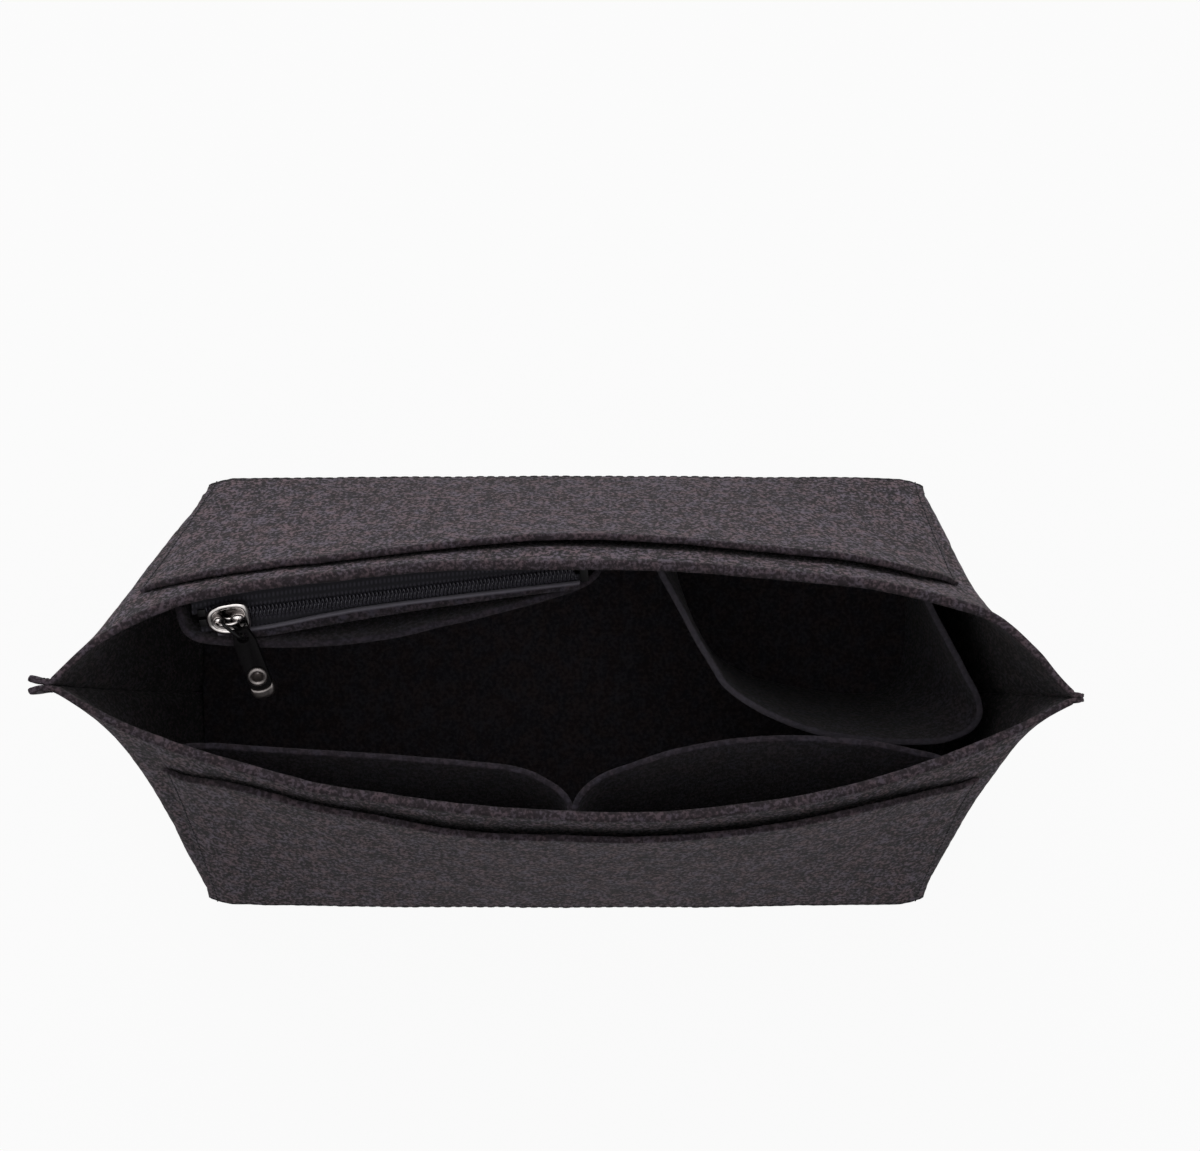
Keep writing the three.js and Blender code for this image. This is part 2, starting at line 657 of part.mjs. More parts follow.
// The crown: a bar over the top plate, on a foot at each end, seen from above as a bone.
function sliderCrown() {
  const barTop = barHeight + crown.bar / 2;
  const side = new THREE.Shape();
  side.moveTo(crown.left, plateTop + touchGap);
  side.lineTo(crown.left, barTop - crown.round);
  side.quadraticCurveTo(crown.left, barTop, crown.left + crown.round, barTop);
  side.lineTo(crown.right - crown.round, barTop);
  side.quadraticCurveTo(crown.right, barTop, crown.right, barTop - crown.round);
  side.lineTo(crown.right, plateTop + touchGap);
  side.lineTo(crown.right - crown.foot, plateTop + touchGap);
  side.lineTo(crown.right - crown.foot, barTop - crown.bar);
  side.lineTo(crown.left + crown.foot, barTop - crown.bar);
  side.lineTo(crown.left + crown.foot, plateTop + touchGap);
  const arch = slab(side, -crown.rightEnd, crown.rightEnd).rotateX(Math.PI / 2);
  const bar = box(crown.left, crown.right, -crown.barWidth / 2, crown.barWidth / 2, 0, 2 * barTop);
  const knob = (x, width) => {
    const round = new THREE.CylinderGeometry(width / 2, width / 2, 2 * barTop, knobSides);
    return toManifold(round.rotateX(Math.PI / 2).translate(x, 0, barTop));
  };
  const leftKnob = knob(crown.left + crown.leftEnd / 2, crown.leftEnd);
  const rightKnob = knob(crown.right - crown.rightEnd / 2, crown.rightEnd);
  const bone = toManifold(bar).add(leftKnob).add(rightKnob);
  return fromManifold(toManifold(arch).intersect(bone));
}

// Link, in a frame at the crown's bar: it hangs toward -y

// A closed loop of wire in the y-z plane, round the crown's bar and through the strap's hole.
function pullLink() {
  const path = [];
  const arc = (centre, from) => {
    for (let i = 0; i <= link.arcSteps; i += 1) {
      const turn = from + (i / link.arcSteps) * Math.PI;
      path.push({ y: centre + link.radius * Math.cos(turn), z: link.radius * Math.sin(turn), turn });
    }
  };
  arc(0, -Math.PI / 2);
  arc(-link.straight, Math.PI / 2);
  const positions = path.flatMap(({ y, z, turn }) => Array.from({ length: link.sides }, (_, i) => {
    const angle = (i / link.sides) * 2 * Math.PI;
    const out = (link.wire / 2) * Math.cos(angle);
    return new THREE.Vector3(
      (link.wire / 2) * Math.sin(angle), y + out * Math.cos(turn), z + out * Math.sin(turn),
    );
  }));
  const triangles = [];
  for (let ring = 0; ring < path.length; ring += 1) {
    const next = (ring + 1) % path.length;
    for (let i = 0; i < link.sides; i += 1) {
      const j = (i + 1) % link.sides;
      const [a, b] = [ring * link.sides + i, ring * link.sides + j];
      const [c, d] = [next * link.sides + i, next * link.sides + j];
      triangles.push([a, b, d], [a, d, c]);
    }
  }
  return solidFrom(positions, triangles);
}

const holeReach = link.straight + link.radius;
const strapTop = strap.margin;
const strapEnd = strapTop - strap.length;
const capSlot = strap.thickness / 2 + touchGap;

// Pull, in a frame at the middle of the strap's upper hole: it hangs toward -y, its face toward +z

function circleHole(y, diameter) {
  return new THREE.Path().absarc(0, y, diameter / 2, 0, 2 * Math.PI, true);
}

function pullStrap() {
  const shape = new THREE.Shape();
  const half = strap.width / 2;
  shape.moveTo(-strap.neck / 2, strapTop);
  shape.lineTo(-half, strapTop - strap.taper);
  shape.lineTo(-half, strapEnd);
  shape.lineTo(half, strapEnd);
  shape.lineTo(half, strapTop - strap.taper);
  shape.lineTo(strap.neck / 2, strapTop);
  shape.holes.push(circleHole(0, strap.hole), circleHole(-rivet.reach, rivet.hole));
  return slab(shape, -strap.thickness / 2, strap.thickness / 2, holeSteps);
}

function pullRivet() {
  const seat = strap.thickness / 2 + touchGap;
  const [head, shank] = [rivet.head / 2, rivet.shank / 2];
  const corners = [[0, -seat - rivet.back], [head, -seat - rivet.back], [head, -seat], [shank, -seat],
    [shank, seat], [head, seat]];
  const profile = corners.map(([out, up]) => new THREE.Vector2(out, up));
  for (let i = 1; i <= domeSteps; i += 1) {
    const turn = (i / domeSteps) * (Math.PI / 2);
    profile.push(new THREE.Vector2(head * Math.cos(turn), seat + rivet.dome * Math.sin(turn)));
  }
  return new THREE.LatheGeometry(profile, rivetSides).rotateX(Math.PI / 2).translate(0, -rivet.reach, 0);
}

// A metal clip folded over the strap's end, with a round nose.
function pullEndCap() {
  const half = endCap.width / 2;
  const tip = strapEnd - touchGap - endCap.nose;
  const top = tip + endCap.length;
  const shape = new THREE.Shape();
  shape.moveTo(-half, top);
  shape.lineTo(-half, tip + endCap.length / 2);
  shape.quadraticCurveTo(-half, tip, 0, tip);
  shape.quadraticCurveTo(half, tip, half, tip + endCap.length / 2);
  shape.lineTo(half, top);
  const outside = capSlot + endCap.wall;
  const body = toManifold(slab(shape, -outside, outside));
  const slotEnd = strapEnd - touchGap;
  const slot = toManifold(box(-endCap.width, endCap.width, slotEnd, strapTop, -capSlot, capSlot));
  return fromManifold(body.subtract(slot));
}

// Assembly

function piece(name, geometry, look) {
  const mesh = new THREE.Mesh(geometry, look);
  mesh.name = name;
  return mesh;
}

const boardBottom = basePanelThickness + touchGap;
const floorBottom = boardBottom + baseBoardThickness + touchGap;

const organizer = new THREE.Group();
organizer.add(
  piece('front_panel', wallPanel('front'), outerFeltMaterial()),
  piece('back_panel', wallPanel('back'), outerFeltMaterial()),
  piece('base_panel', basePlate(0, basePanelThickness), outerFeltMaterial()),
  piece('base_board', basePlate(boardBottom, baseBoardThickness), material(colours.board, 0.6)),
  piece('floor_panel', basePlate(floorBottom, floorPanelThickness), material(colours.floorFelt, 0.95)),
  piece('front_outer_pocket', outerPocket('front'), outerFeltMaterial()),
  piece('back_outer_pocket', outerPocket('back'), outerFeltMaterial()),
  piece('front_inner_pocket', frontInnerPocket(), pocketFeltMaterial()),
  piece('back_slip_pocket', backSlipPocket(), pocketFeltMaterial()),
  piece('bottle_holder', bottleHolder(), pocketFeltMaterial()),
  piece('zip_pocket_panel', zipPocketPanel(), pocketFeltMaterial()),
  piece('zip_tape_upper', upperTape(), tapeMaterial()),
  piece('zip_tape_lower', lowerTape(), tapeMaterial()),
  zipGroup,
);

zipGroup.add(
  piece('zip_coil_upper', coilRow(1), material(colours.coil, 0.5)),
  piece('zip_coil_lower', coilRow(-1), material(colours.coil, 0.5)),
  piece('zip_top_stop_upper', topStop(1), nickelMaterial()),
  piece('zip_top_stop_lower', topStop(-1), nickelMaterial()),
  piece('zip_bottom_stop', bottomStop(), nickelMaterial()),
  piece('slider_body', sliderBody(), nickelMaterial()),
  piece('slider_crown', sliderCrown(), nickelMaterial()),
);

const linkGroup = new THREE.Group();
linkGroup.position.set(link.along, 0, barHeight);
linkGroup.rotation.z = radians(link.yaw);
linkGroup.add(piece('pull_link', pullLink(), material(colours.lacquer, 0.35, 0.6)));
zipGroup.add(linkGroup);

const pullGroup = new THREE.Group();
pullGroup.position.set(0, -holeReach, 0);
pullGroup.rotation.z = radians(strap.yaw - link.yaw);
pullGroup.add(
  piece('pull_strap', pullStrap(), material(colours.leather, 0.6)),
  piece('pull_rivet', pullRivet(), nickelMaterial()),
  piece('pull_end_cap', pullEndCap(), nickelMaterial()),
);
linkGroup.add(pullGroup);

export default organizer;
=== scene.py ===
import json
import math

import bmesh
import bpy
import numpy as np
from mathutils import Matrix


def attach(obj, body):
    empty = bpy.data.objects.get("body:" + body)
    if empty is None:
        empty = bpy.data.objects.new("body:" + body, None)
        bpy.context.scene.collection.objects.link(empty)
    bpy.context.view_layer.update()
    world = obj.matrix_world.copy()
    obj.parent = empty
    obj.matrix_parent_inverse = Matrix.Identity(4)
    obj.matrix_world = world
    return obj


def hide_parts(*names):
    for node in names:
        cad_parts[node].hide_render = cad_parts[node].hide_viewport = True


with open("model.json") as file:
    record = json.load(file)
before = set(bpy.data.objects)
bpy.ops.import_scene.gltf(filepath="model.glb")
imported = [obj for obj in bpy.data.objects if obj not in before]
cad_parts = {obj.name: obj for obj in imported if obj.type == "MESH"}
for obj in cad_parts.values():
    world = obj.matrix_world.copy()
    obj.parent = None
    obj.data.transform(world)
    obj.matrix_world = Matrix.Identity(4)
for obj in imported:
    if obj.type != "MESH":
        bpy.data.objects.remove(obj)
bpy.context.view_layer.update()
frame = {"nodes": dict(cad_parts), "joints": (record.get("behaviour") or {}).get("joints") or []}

# A felt organizer insert for a handbag, seen from straight above.
# Lengths are in millimetres here and are turned to metres when a mesh is made.

MM = 0.001

# Felt, board and clearances
WALL_FELT = 3.0
POCKET_FELT = 2.0
BASE_BOARD = 1.5
TOUCH_GAP = 0.35
HANG_GAP = 0.7

# Base
BASE_LENGTH = 236.0
BASE_DEPTH = 138.0
BASE_CORNER = 5.0
BASE_BOW = 3.5
MID_LENGTH = (BASE_LENGTH - WALL_FELT) / 2
MID_DEPTH = (BASE_DEPTH - WALL_FELT) / 2
MID_CORNER = BASE_CORNER - WALL_FELT / 2
SEAM_X = MID_LENGTH + BASE_BOW

# Walls and mouth. The seams press the felt thin, and each corner of the insert is drawn in or
# bulges by its own depth, most where the power of the height puts it. The mouth line has its
# depth in the middle, its heading at the tips in degrees, and the lengths of its curve's handles
# at the tips and in the middle.
WALL_SLANT = 168.7
MOUTH_HALF = {"left": 143.0, "right": 141.0}
SEAM_PRESS = 0.53
SEAM_MIDDLE = WALL_FELT * SEAM_PRESS / 2 - 0.04
FIN_REACH = {"left": 6.0, "right": 2.6}
FIN_FLARE = {"left": 1.3, "right": -0.4}
MOUTH = {
    "back": {"depth": 38.3, "heading": 46, "tip": 44, "mid": 48},
    "front": {"depth": 35.0, "heading": 26, "tip": 50, "mid": 50},
}
DRAWN_IN = {
    "back": {"left": (-1.0, 1.0), "right": (4.3, 1.6)},
    "front": {"left": (2.3, 1.5), "right": (0.8, 1.2)},
}
SIDE_SIGN = {"back": 1, "front": -1}

# Shares of the mouth line that belong to the bowed end and the corner, and the share of the
# straight over which a corner's hollow fades
GUSSET_MOUTH_SHARE = 0.1
CORNER_MOUTH_SHARE = 0.15
HOLLOW_REACH_SHARE = 0.4

# Pressing by the seams: the share of the bowed end over which the felt grows thick again, the
# share of the height that stays thick at the foot, and how near a tip and how much the mouth is
# pressed
SEAM_PRESS_SHARE = 0.06
SEAM_FOOT_SHARE = 0.05
TIP_REACH = 34.0
TIP_PRESS = 0.62

# Rim: the share of the height where its own form begins, how much a fin thickens that flares in
# or out, how near a tip the seam's lean begins and over what length, the length over which the
# height is averaged, and its soft waves
RIM_ZONE = 0.85
FIN_SWELL = (1.2, 0.3)
SEAM_LEAN_RUN = (9, 8)
RIM_MEAN_REACH = 14
RIM_WAVES = {"high": 0.25, "long": 26, "seed": 5, "from": 0.9}

# Corners of base felt in the side seams: from and to along the insert, half widths there, height
SEAM_TAB = {"x": (116.8, 123.0), "half": (3.4, 0.7), "z": 1.6, "thickness": 2.4}

# How far the slack rim lies toward the back, at places along it
RIM_LEAN = {
    "back": [(-136, 2.6), (-128, 3.4), (-122, 3.0), (-117, 2.9), (-107, 2.8), (-92, 1.0),
             (-68, -1.0), (-52, -1.0), (-35, -1.0), (-18, -1.7), (0, -2.0), (15, -1.8),
             (32, -1.3), (49, -1.4), (66, -1.1), (82, 0.6), (98, 1.8), (110, 2.9), (119, 4.6),
             (126, 3.4), (132, 0.8), (138, -0.9), (143, -1.6)],
    "front": [(-136, 1.4), (-128, 0.4), (-122, -0.1), (-107, -0.4), (-96, 0.1), (-85, 0.2),
              (-68, -0.5), (-52, 0.5), (-35, 0.1), (-18, -0.4), (0, -0.7), (15, -1.4),
              (31, -2.3), (48, -2.4), (65, -3.1), (82, -3.6), (98, -3.3), (110, -3.1),
              (118, -3.0), (124, -2.7), (130, -2.2), (136, -1.8), (143, -1.6)],
}
SEAM_LEAN = {"left": 2.0, "right": -1.6}

# The back wall gives way a little behind the chain's right end: where, how far round and how deep
ZIP_HOLLOW = {"x": -1, "z": 150, "wide": 20, "high": 13, "depth": 1.0}

# Outer pockets: where the top corners are sewn, how far the top lies under the rim, and how far
# it gapes. The sewing presses the felt thin and close to the wall.
OUTER_HEM = 5.0
SEWN = {"reach": 7, "press": 0.7, "gap": 0.15}
OUTER_FOOT = 115.4
OUTER_TOP = {"back": (-121.5, 113.5), "front": (-114.8, 118.5)}
OUTER_DROP = {
    "back": [(-122, 31), (-117, 23), (-107, 15), (-96, 14), (-85, 12), (-68, 9), (-52, 10),
             (-35, 13), (-18, 17), (0, 19), (15, 19), (31, 17), (65, 17), (82, 16), (99, 23),
             (110, 40), (114, 46)],
    "front": [(-115, 28), (-107, 23), (-96, 13), (-85, 10), (-68, 8.5), (-52, 9.5), (-35, 13),
              (-18, 13), (0, 11), (15, 11), (31, 10), (48, 13), (65, 9.5), (82, 9.5), (98, 17),
              (110, 28), (119, 34)],
}
OUTER_GAPE = {
    "back": [(-120, 0), (-70, 0.3), (-40, 0.5), (0, 1.3), (15, 1.5), (50, 1.1), (90, 1.1),
             (113, 0)],
    "front": [(-115, 0), (-95, 0.5), (-70, 0.8), (-50, 1.2), (-20, 1.6), (30, 1.6), (95, 1.5),
              (118, 0)],
}

# Pockets hung inside the walls: the middle line of each top edge, as x and distance from the
# middle plane. Where a place lies beyond the wall, the felt touches the wall.
POCKET_FOOT = WALL_FELT + BASE_BOARD + POCKET_FELT + 3 * TOUCH_GAP
FRONT_POCKET = {"top": 128, "foot_share": 0.93}
FRONT_LINE_LEFT = [(-118.6, 30), (-118, 25), (-116, 19), (-111.5, 16), (-103, 15.4),
                   (-92.9, 16), (-82.7, 16.7), (-69.7, 17.5), (-56.7, 18.4), (-43.7, 19.4),
                   (-30.7, 20.5), (-16.2, 21.9), (-10.2, 23.5), (-5.8, 25.8), (-1.2, 29),
                   (0.9, 32), (1.7, 36)]
FRONT_LINE_RIGHT = [(2.1, 36), (2.9, 32), (5, 28.8), (9.8, 24.8), (18.8, 21.4), (27.9, 18.2),
                    (37, 16), (46, 14.5), (55, 13.6), (64.1, 13.2), (73.2, 13.4), (82.2, 14.1),
                    (91.1, 15.1), (100.1, 17), (108.2, 19), (114.5, 22), (117, 27), (117.4, 32)]
SLIP_POCKET = {"left": -110.6, "right": 10, "above_zip": 0.5, "sag": 5, "right_drop": 6,
               "foot_share": 0.95}
SLIP_LINE = [(-110.6, 33), (-110.6, 28), (-109.5, 22), (-108.2, 17.6), (-104.8, 15),
             (-98.7, 14.1), (-87.3, 13.4), (-75.9, 13.4), (-66.8, 13.9), (-60.2, 14.5),
             (-47.4, 16.5), (-37.4, 18.8), (-24.5, 21.8), (-10.3, 25.6), (-1.7, 28.3),
             (4.5, 30.6), (8.6, 33.5), (10, 38)]
HOLDER = {"left": 24, "right": 107, "top": 108, "foot_reach": 64, "foot_left_in": 9}
HOLDER_LINE = [(24.6, 48), (25.6, 42), (28.1, 34.9), (30.7, 30.3), (34.6, 23.3), (39.6, 14.2),
               (44.2, 6.8), (47.2, 2.1), (51.8, -1.8), (58.1, -5.6), (65.5, -9), (74, -11.8),
               (84, -13.6), (98.7, -14.8), (112, -14), (119.5, -11), (122.3, -7), (122, -2.6),
               (117.6, 6.3), (111.7, 17.2), (107.6, 25), (105, 32), (104, 39)]
HOLDER_FOOT_SHARES = [[0, 0], [0.024, 0.264], [0.096, 0.583], [0.217, 0.806], [0.386, 0.917],
                      [0.578, 0.972], [0.771, 1], [0.916, 0.986], [1.012, 0.903], [1.048, 0.722],
                      [1.036, 0.403], [1, 0.05]]

# Zip. The upper tape runs up the wall by its flange. Beside the chain the pocket's felt starts at
# its edge and lies flat for the length of its leg, over the lower tape, with a gap between.
BAR_HEIGHT = 6.5
LINK_ALONG = -0.4
CHAIN_LENGTH = 99.6
ZIP_TAPE = {"thickness": 0.6, "inner_edge": 0.9, "left_run": 10.5, "lower_left_run": 8.3,
            "right_run": 6}
TAPE_WALL_FLANGE = [(-106, 6), (-60, 6), (-28, 1.9), (10, 1.9)]
ZIP_START_X = -95.5
ZIP_END_X = 3.4
ZIP_PANEL = {"left": -99, "right": 4, "foot": 60}
ZIP_PANEL_EDGE = [(-99, 5), (-83, 4.6), (-70, 3.3), (-60, 2.6), (-40, 2.3), (4, 2.5)]
ZIP_PANEL_LEG = [(-99, 2.2), (-88, 3.4), (-62, 4.2), (-34, 3.2), (-15, 2.6), (4, 2.4)]
COIL = {"pitch": 1.1, "wire": 0.5, "inner": -0.35, "outer": 1.75, "middle": 1.05, "rise": 0.4,
        "start": -6.2, "parted_until": -0.2, "parting": 1.5, "parting_run": 1.5,
        "sharp": 1.6, "steps": 14, "sides": 7}
TAPE_GAP = 0.1
PANEL_LIFT = ZIP_TAPE["thickness"] / 2 + TAPE_GAP + POCKET_FELT

# Slider, in places along the chain, across it and out of the tapes. A rim line is a list of how
# far a ring lies in from the outline and how high, and the painted shade tells how dark the
# shell's last rings, in its sunk field, are drawn. The strap's clip has places across the strap,
# up along it and out of it.
SLIDER_OUTLINE = [(-6.5, 0), (-6.2, 1.9), (-5.0, 3.5), (-2.6, 4.75), (0.3, 5.15), (3.2, 5.05),
                  (5.0, 4.3), (5.9, 2.5), (6.0, 0)]
SLIDER_HALF = (6.25, 5.0)
SLIDER_RECESS_SHADE = (0.25, 0.8, 1, 1, 1)
SLIDER_TOP_RIM = [(0.06, 2.86), (0, 3.1), (0.05, 3.38), (0.22, 3.7), (0.5, 3.92), (0.9, 4.02),
                  (1.25, 3.98), (1.5, 3.85), (1.68, 3.68), (1.9, 3.6)]
SLIDER_BASE_RIM = [(1.15, -1.35), (0.85, -1.28), (0.7, -1.1), (0.7, -0.88), (0.85, -0.7),
                   (1.15, -0.65)]
SLIDER_BASE_WIDTH = 0.56
SLIDER_FLANGE = {"from": 3.5, "to": 4.4, "foot": 2.5, "wall": 1.0, "ceiling": 2.74}
SLIDER_POST = {"along": -3.4, "long": 1.75, "wide": 0.78, "foot": -0.8, "head": 3.0}
CROWN_PATH = [(-3.3, 3.6), (-3.5, 4.7), (-3.0, 5.7), (-2.0, 6.35), (-0.4, 6.5), (1.2, 6.4),
              (2.3, 5.9), (2.9, 4.9), (2.8, 3.6)]
CROWN_WIDTH = [(0, 0.6), (0.3, 0.48), (0.6, 0.48), (0.8, 0.7), (1, 0.8)]
CROWN_DEPTH = 0.42
CROWN_KNOBS = [((-3.0, 0.3, 3.75), (1.35, 1.2, 1.25)), ((2.4, 0.35, 3.75), (2.0, 1.5, 1.45)),
               ((-0.4, 0.2, 3.5), (2.4, 0.5, 0.5))]
CAP_OUTLINE = [(0, -20.6), (1.8, -20.45), (3.0, -19.6), (3.5, -18.2), (3.5, -16.9), (3.2, -16.4),
               (2.5, -16.75), (1.3, -17.3), (0, -17.5)]
CAP_MIDDLE, CAP_HALF = (0, -18.7), (3.5, 1.9)
CAP_RIM = [(0.9, -1.95), (0.5, -1.85), (0.15, -1.45), (0, -0.9), (0, 0.7), (0.08, 1.2),
           (0.28, 1.58), (0.6, 1.84), (0.9, 1.93)]
LINK = {"wire": 1.0, "radius": 1.8, "straight": 4.0, "sides": 14}
RIVET = {"reach": 13.0, "ring": 3.0, "bore": 1.5, "height": 1.0, "seat": 1.25, "back": 0.7}

# Sewing: one stitch, and how far each row of them lies inside its edge
STITCH = {"length": 2.7, "gap": 0.8, "thread": 0.5, "rise": 0.16, "bite": 0.3, "sides": 6}
SEAM_INSET = {"side": 2.4, "base": 2.6, "outer_pocket": 2.2, "inner_pocket": 2.0,
              "zip_pocket": 1.1}

# How finely the felt is drawn: steps along a wall's base line, rows of each sheet, steps of the
# curves they are read from and the widths of the lumps in them. Walls and outer pockets share
# one seed, so they lie alike.
FIN_EDGE_STEPS = [0, 0.08, 0.22, 0.45, 0.75]
GUSSET_STEPS, CORNER_STEPS, STRAIGHT_STEPS = 34, 9, 76
WALL_ROWS = 96
OUTER_GRID = (84, 150)
CURVE_STEPS = 600
KNOT_STEPS = 40
LUMP_WIDTHS = (9, 34)
OUTSIDE_SEED = 11

# Rows or columns of each inner sheet and the rough length that they share out
HUNG_ROWS, HOLDER_ROWS = (56, 130), (52, 100)
FRONT_COLUMNS, SLIP_COLUMNS, HOLDER_COLUMNS = (190, 240), (120, 150), (160, 190)
PANEL_COLUMNS, LOWER_TAPE_COLUMNS, UPPER_TAPE_COLUMNS = (96, 101), (98, 108), (100, 115)

# Tables of the walls: places along them, heights, shares of the height, and the columns that
# lie between the two side seams
DEPTH_STEP = 2.0
DEPTH_X = np.arange(-122.0, 122.5, 1.0)
DEPTH_Z = np.arange(0.0, 160.0, DEPTH_STEP)
WALL_SHARES = np.linspace(0, 1, 101)
BETWEEN_SEAMS = slice(14, -14)

# Photograph, taken from straight above: its size and the origin's place in pixels, the camera's
# height in metres, the sensor's width in millimetres and the focal length in pixels
PHOTO_WIDTH = 1200
PHOTO_HEIGHT = 1151
OBJECT_AT = (566, 692)
CAMERA_HEIGHT = 1.049
SENSOR = 36.0
FOCAL_PIXELS = 3184

# Studio: the card's share of plain white, its reach in metres, how much brighter metal sees the
# ceiling, and the ceiling's two lit zones, each from one height of view to another (its sine)
# and from one level to another
CARD_WHITE = 0.94
FLOOR_REACH = 6.0
CEILING_SHINE = 2.6
CEILING_LIGHT = [(0.46, 0.66, 0.05, 0.36), (0.86, 0.95, 0.0, 0.36)]


# Small numeric helpers

def mix(a, b, share):
    """The value at a share of the way from a to b."""
    return a + (b - a) * share


def ease(value):
    """The smooth step three x squared minus two x cubed, held to 0..1."""
    value = np.clip(value, 0, 1)
    return value * value * (3 - 2 * value)


def unit(vectors):
    """Vectors divided by their lengths."""
    return vectors / np.maximum(np.linalg.norm(vectors, axis=-1, keepdims=True), 1e-12)


def full_turn(steps):
    """The angles of even steps once round."""
    return np.linspace(0, 2 * math.pi, steps, endpoint=False)


def by_end(x, values):
    """The left value where x is negative, else the right one."""
    return np.where(x < 0, values["left"], values["right"])


def lengths_along(line):
    """The length of a line up to each of its points."""
    steps = np.linalg.norm(np.diff(line, axis=0), axis=-1)
    return np.concatenate([[0], np.cumsum(steps)])


def read_along(line, run, at):
    """Values of a line at lengths along it, given the length at each of its points."""
    return np.stack([np.interp(at, run, line[:, k]) for k in range(line.shape[1])], -1)


def resample(line, places):
    """Points of a line at shares of its length."""
    run = lengths_along(line)
    return read_along(line, run, np.asarray(places) * run[-1])


def edge_places(count, length, radius):
    """Shares of a length, even in the middle and close together at both ends, for a rounded
    edge."""
    near = np.array([0, 0.05, 0.18, 0.4, 0.7, 1.0]) * radius / length
    middle = np.linspace(near[-1], 1 - near[-1], count)
    return np.concatenate([near[:-1], middle, (1 - near[:-1])[::-1]])


def smooth_run(shares, steps):
    """A centripetal Catmull-Rom curve: on each stretch a cubic whose end slopes come from the
    neighbouring knots, spaced by the square root of their distance."""
    knots = np.array(shares, float)
    knots = np.vstack([2 * knots[0] - knots[1], knots, 2 * knots[-1] - knots[-2]])
    p0, p1, p2, p3 = knots[:-3], knots[1:-2], knots[2:-1], knots[3:]
    d0, d1, d2 = (np.sqrt(np.linalg.norm(b - a, axis=1))[:, None]
                  for a, b in ((p0, p1), (p1, p2), (p2, p3)))
    slope1 = ((p1 - p0) / d0 - (p2 - p0) / (d0 + d1) + (p2 - p1) / d1) * d1
    slope2 = ((p2 - p1) / d1 - (p3 - p1) / (d1 + d2) + (p3 - p2) / d2) * d1
    t = np.linspace(0, 1, steps, endpoint=False)[None, :, None]
    a, b, c, d = (v[:, None, :] for v in (p1, slope1, p2, slope2))
    curve = (2 * a - 2 * c + b + d) * t ** 3 + (3 * c - 3 * a - 2 * b - d) * t ** 2 + b * t + a
    return np.vstack([curve.reshape(-1, 2), knots[-2]])


def smoothed(line, rounds):
    """Each inner point moved to a quarter, half, quarter mean with its neighbours, some rounds."""
    line = line.copy()
    for _ in range(rounds):
        line[..., 1:-1, :] = (line[..., :-2, :] + 2 * line[..., 1:-1, :] + line[..., 2:, :]) / 4
    return line


def spread_mean(x, table, reach):
    """A table read with straight shares and averaged over a reach to both sides."""
    places = np.asarray(x)[..., None] + np.linspace(-reach, reach, 9)
    return np.interp(places, *np.array(table, float).T).mean(-1)


def read_grid(table, row_place, column_place):
    """A table read between its rows and columns by two straight shares."""
    i = np.clip(row_place, 0, table.shape[0] - 1.001)
    k = np.clip(column_place, 0, table.shape[1] - 1.001)
    row, column = i.astype(int), k.astype(int)
    low = mix(table[row, column], table[row, column + 1], k - column)
    high = mix(table[row + 1, column], table[row + 1, column + 1], k - column)
    return mix(low, high, i - row)


def hills(points, wavelength, seed):
    """Soft hills of about one wavelength: the mean of ten sine waves in seeded directions."""
    rng = np.random.default_rng(seed)
    directions = unit(rng.normal(size=(10, 3)))
    phases = rng.uniform(0, 2 * math.pi, 10)
    waves = wavelength * rng.uniform(0.7, 1.4, 10)
    return np.sin(points @ (directions / waves[:, None]).T * 2 * math.pi + phases).mean(-1) * 2


# Meshes

def quads(index):
    """The four-sided faces between neighbouring rows and columns of a grid of vertex numbers."""
    corners = (index[:-1, :-1], index[:-1, 1:], index[1:, 1:], index[1:, :-1])
    return np.stack(corners, -1).reshape(-1, 4)


def wrapped(index):
    """The grid with its first column again after its last, so that its faces go all round."""
    return np.hstack([index, index[:, :1]])


def stack_faces(count, sides):
    """Faces of a closed stack of rings: quads between the rings, and triangles to the single
    points that close it, which are numbered first and last."""
    index = wrapped(1 + np.arange(count * sides).reshape(count, sides))
    start, end = np.zeros(sides, int), np.full(sides, count * sides + 1)
    return quads(index), np.vstack([np.stack([start, index[0, 1:], index[0, :-1]], 1),
                                    np.stack([end, index[-1, :-1], index[-1, 1:]], 1)])


def closed_rings(rings):
    """Points and faces of a shell through rings of points that run anticlockwise as seen from
    the last ring. The first and last ring are single points, which close it."""
    band, fans = stack_faces(len(rings) - 2, rings.shape[1])
    points = np.vstack([rings[:1, 0], rings[1:-1].reshape(-1, 3), rings[-1:, 0]])
    return points, band.tolist() + fans.tolist()


def with_tips(rings, tips):
    """The rings with one point before the first and one after the last, as rings."""
    first, last = (np.repeat(tip[None, None], rings.shape[1], 1) for tip in tips)
    return np.concatenate([first, rings, last])


def drawn_ring(outline, half, inset, height, share=1.0):
    """A ring at one height: an outline drawn in by an inset, told from its half sizes, and
    scaled by a share."""
    plan = outline * (1 - inset / np.array(half)) * share
    return np.column_stack([plan, np.broadcast_to(height, len(plan))])


def circles(path, radius, sides, fixed, closed=False):
    """Circles square to a path, kept from twisting by taking each one's first axis from one
    fixed direction."""
    ahead = np.roll(path, -1, 0) - np.roll(path, 1, 0) if closed else np.gradient(path, axis=0)
    ahead = unit(ahead)
    first = unit(np.cross(ahead, fixed))
    second = np.cross(ahead, first)
    turn = full_turn(sides)[:, None]
    return path[:, None] + radius * (first[:, None] * np.cos(turn)
                                     + second[:, None] * np.sin(turn))


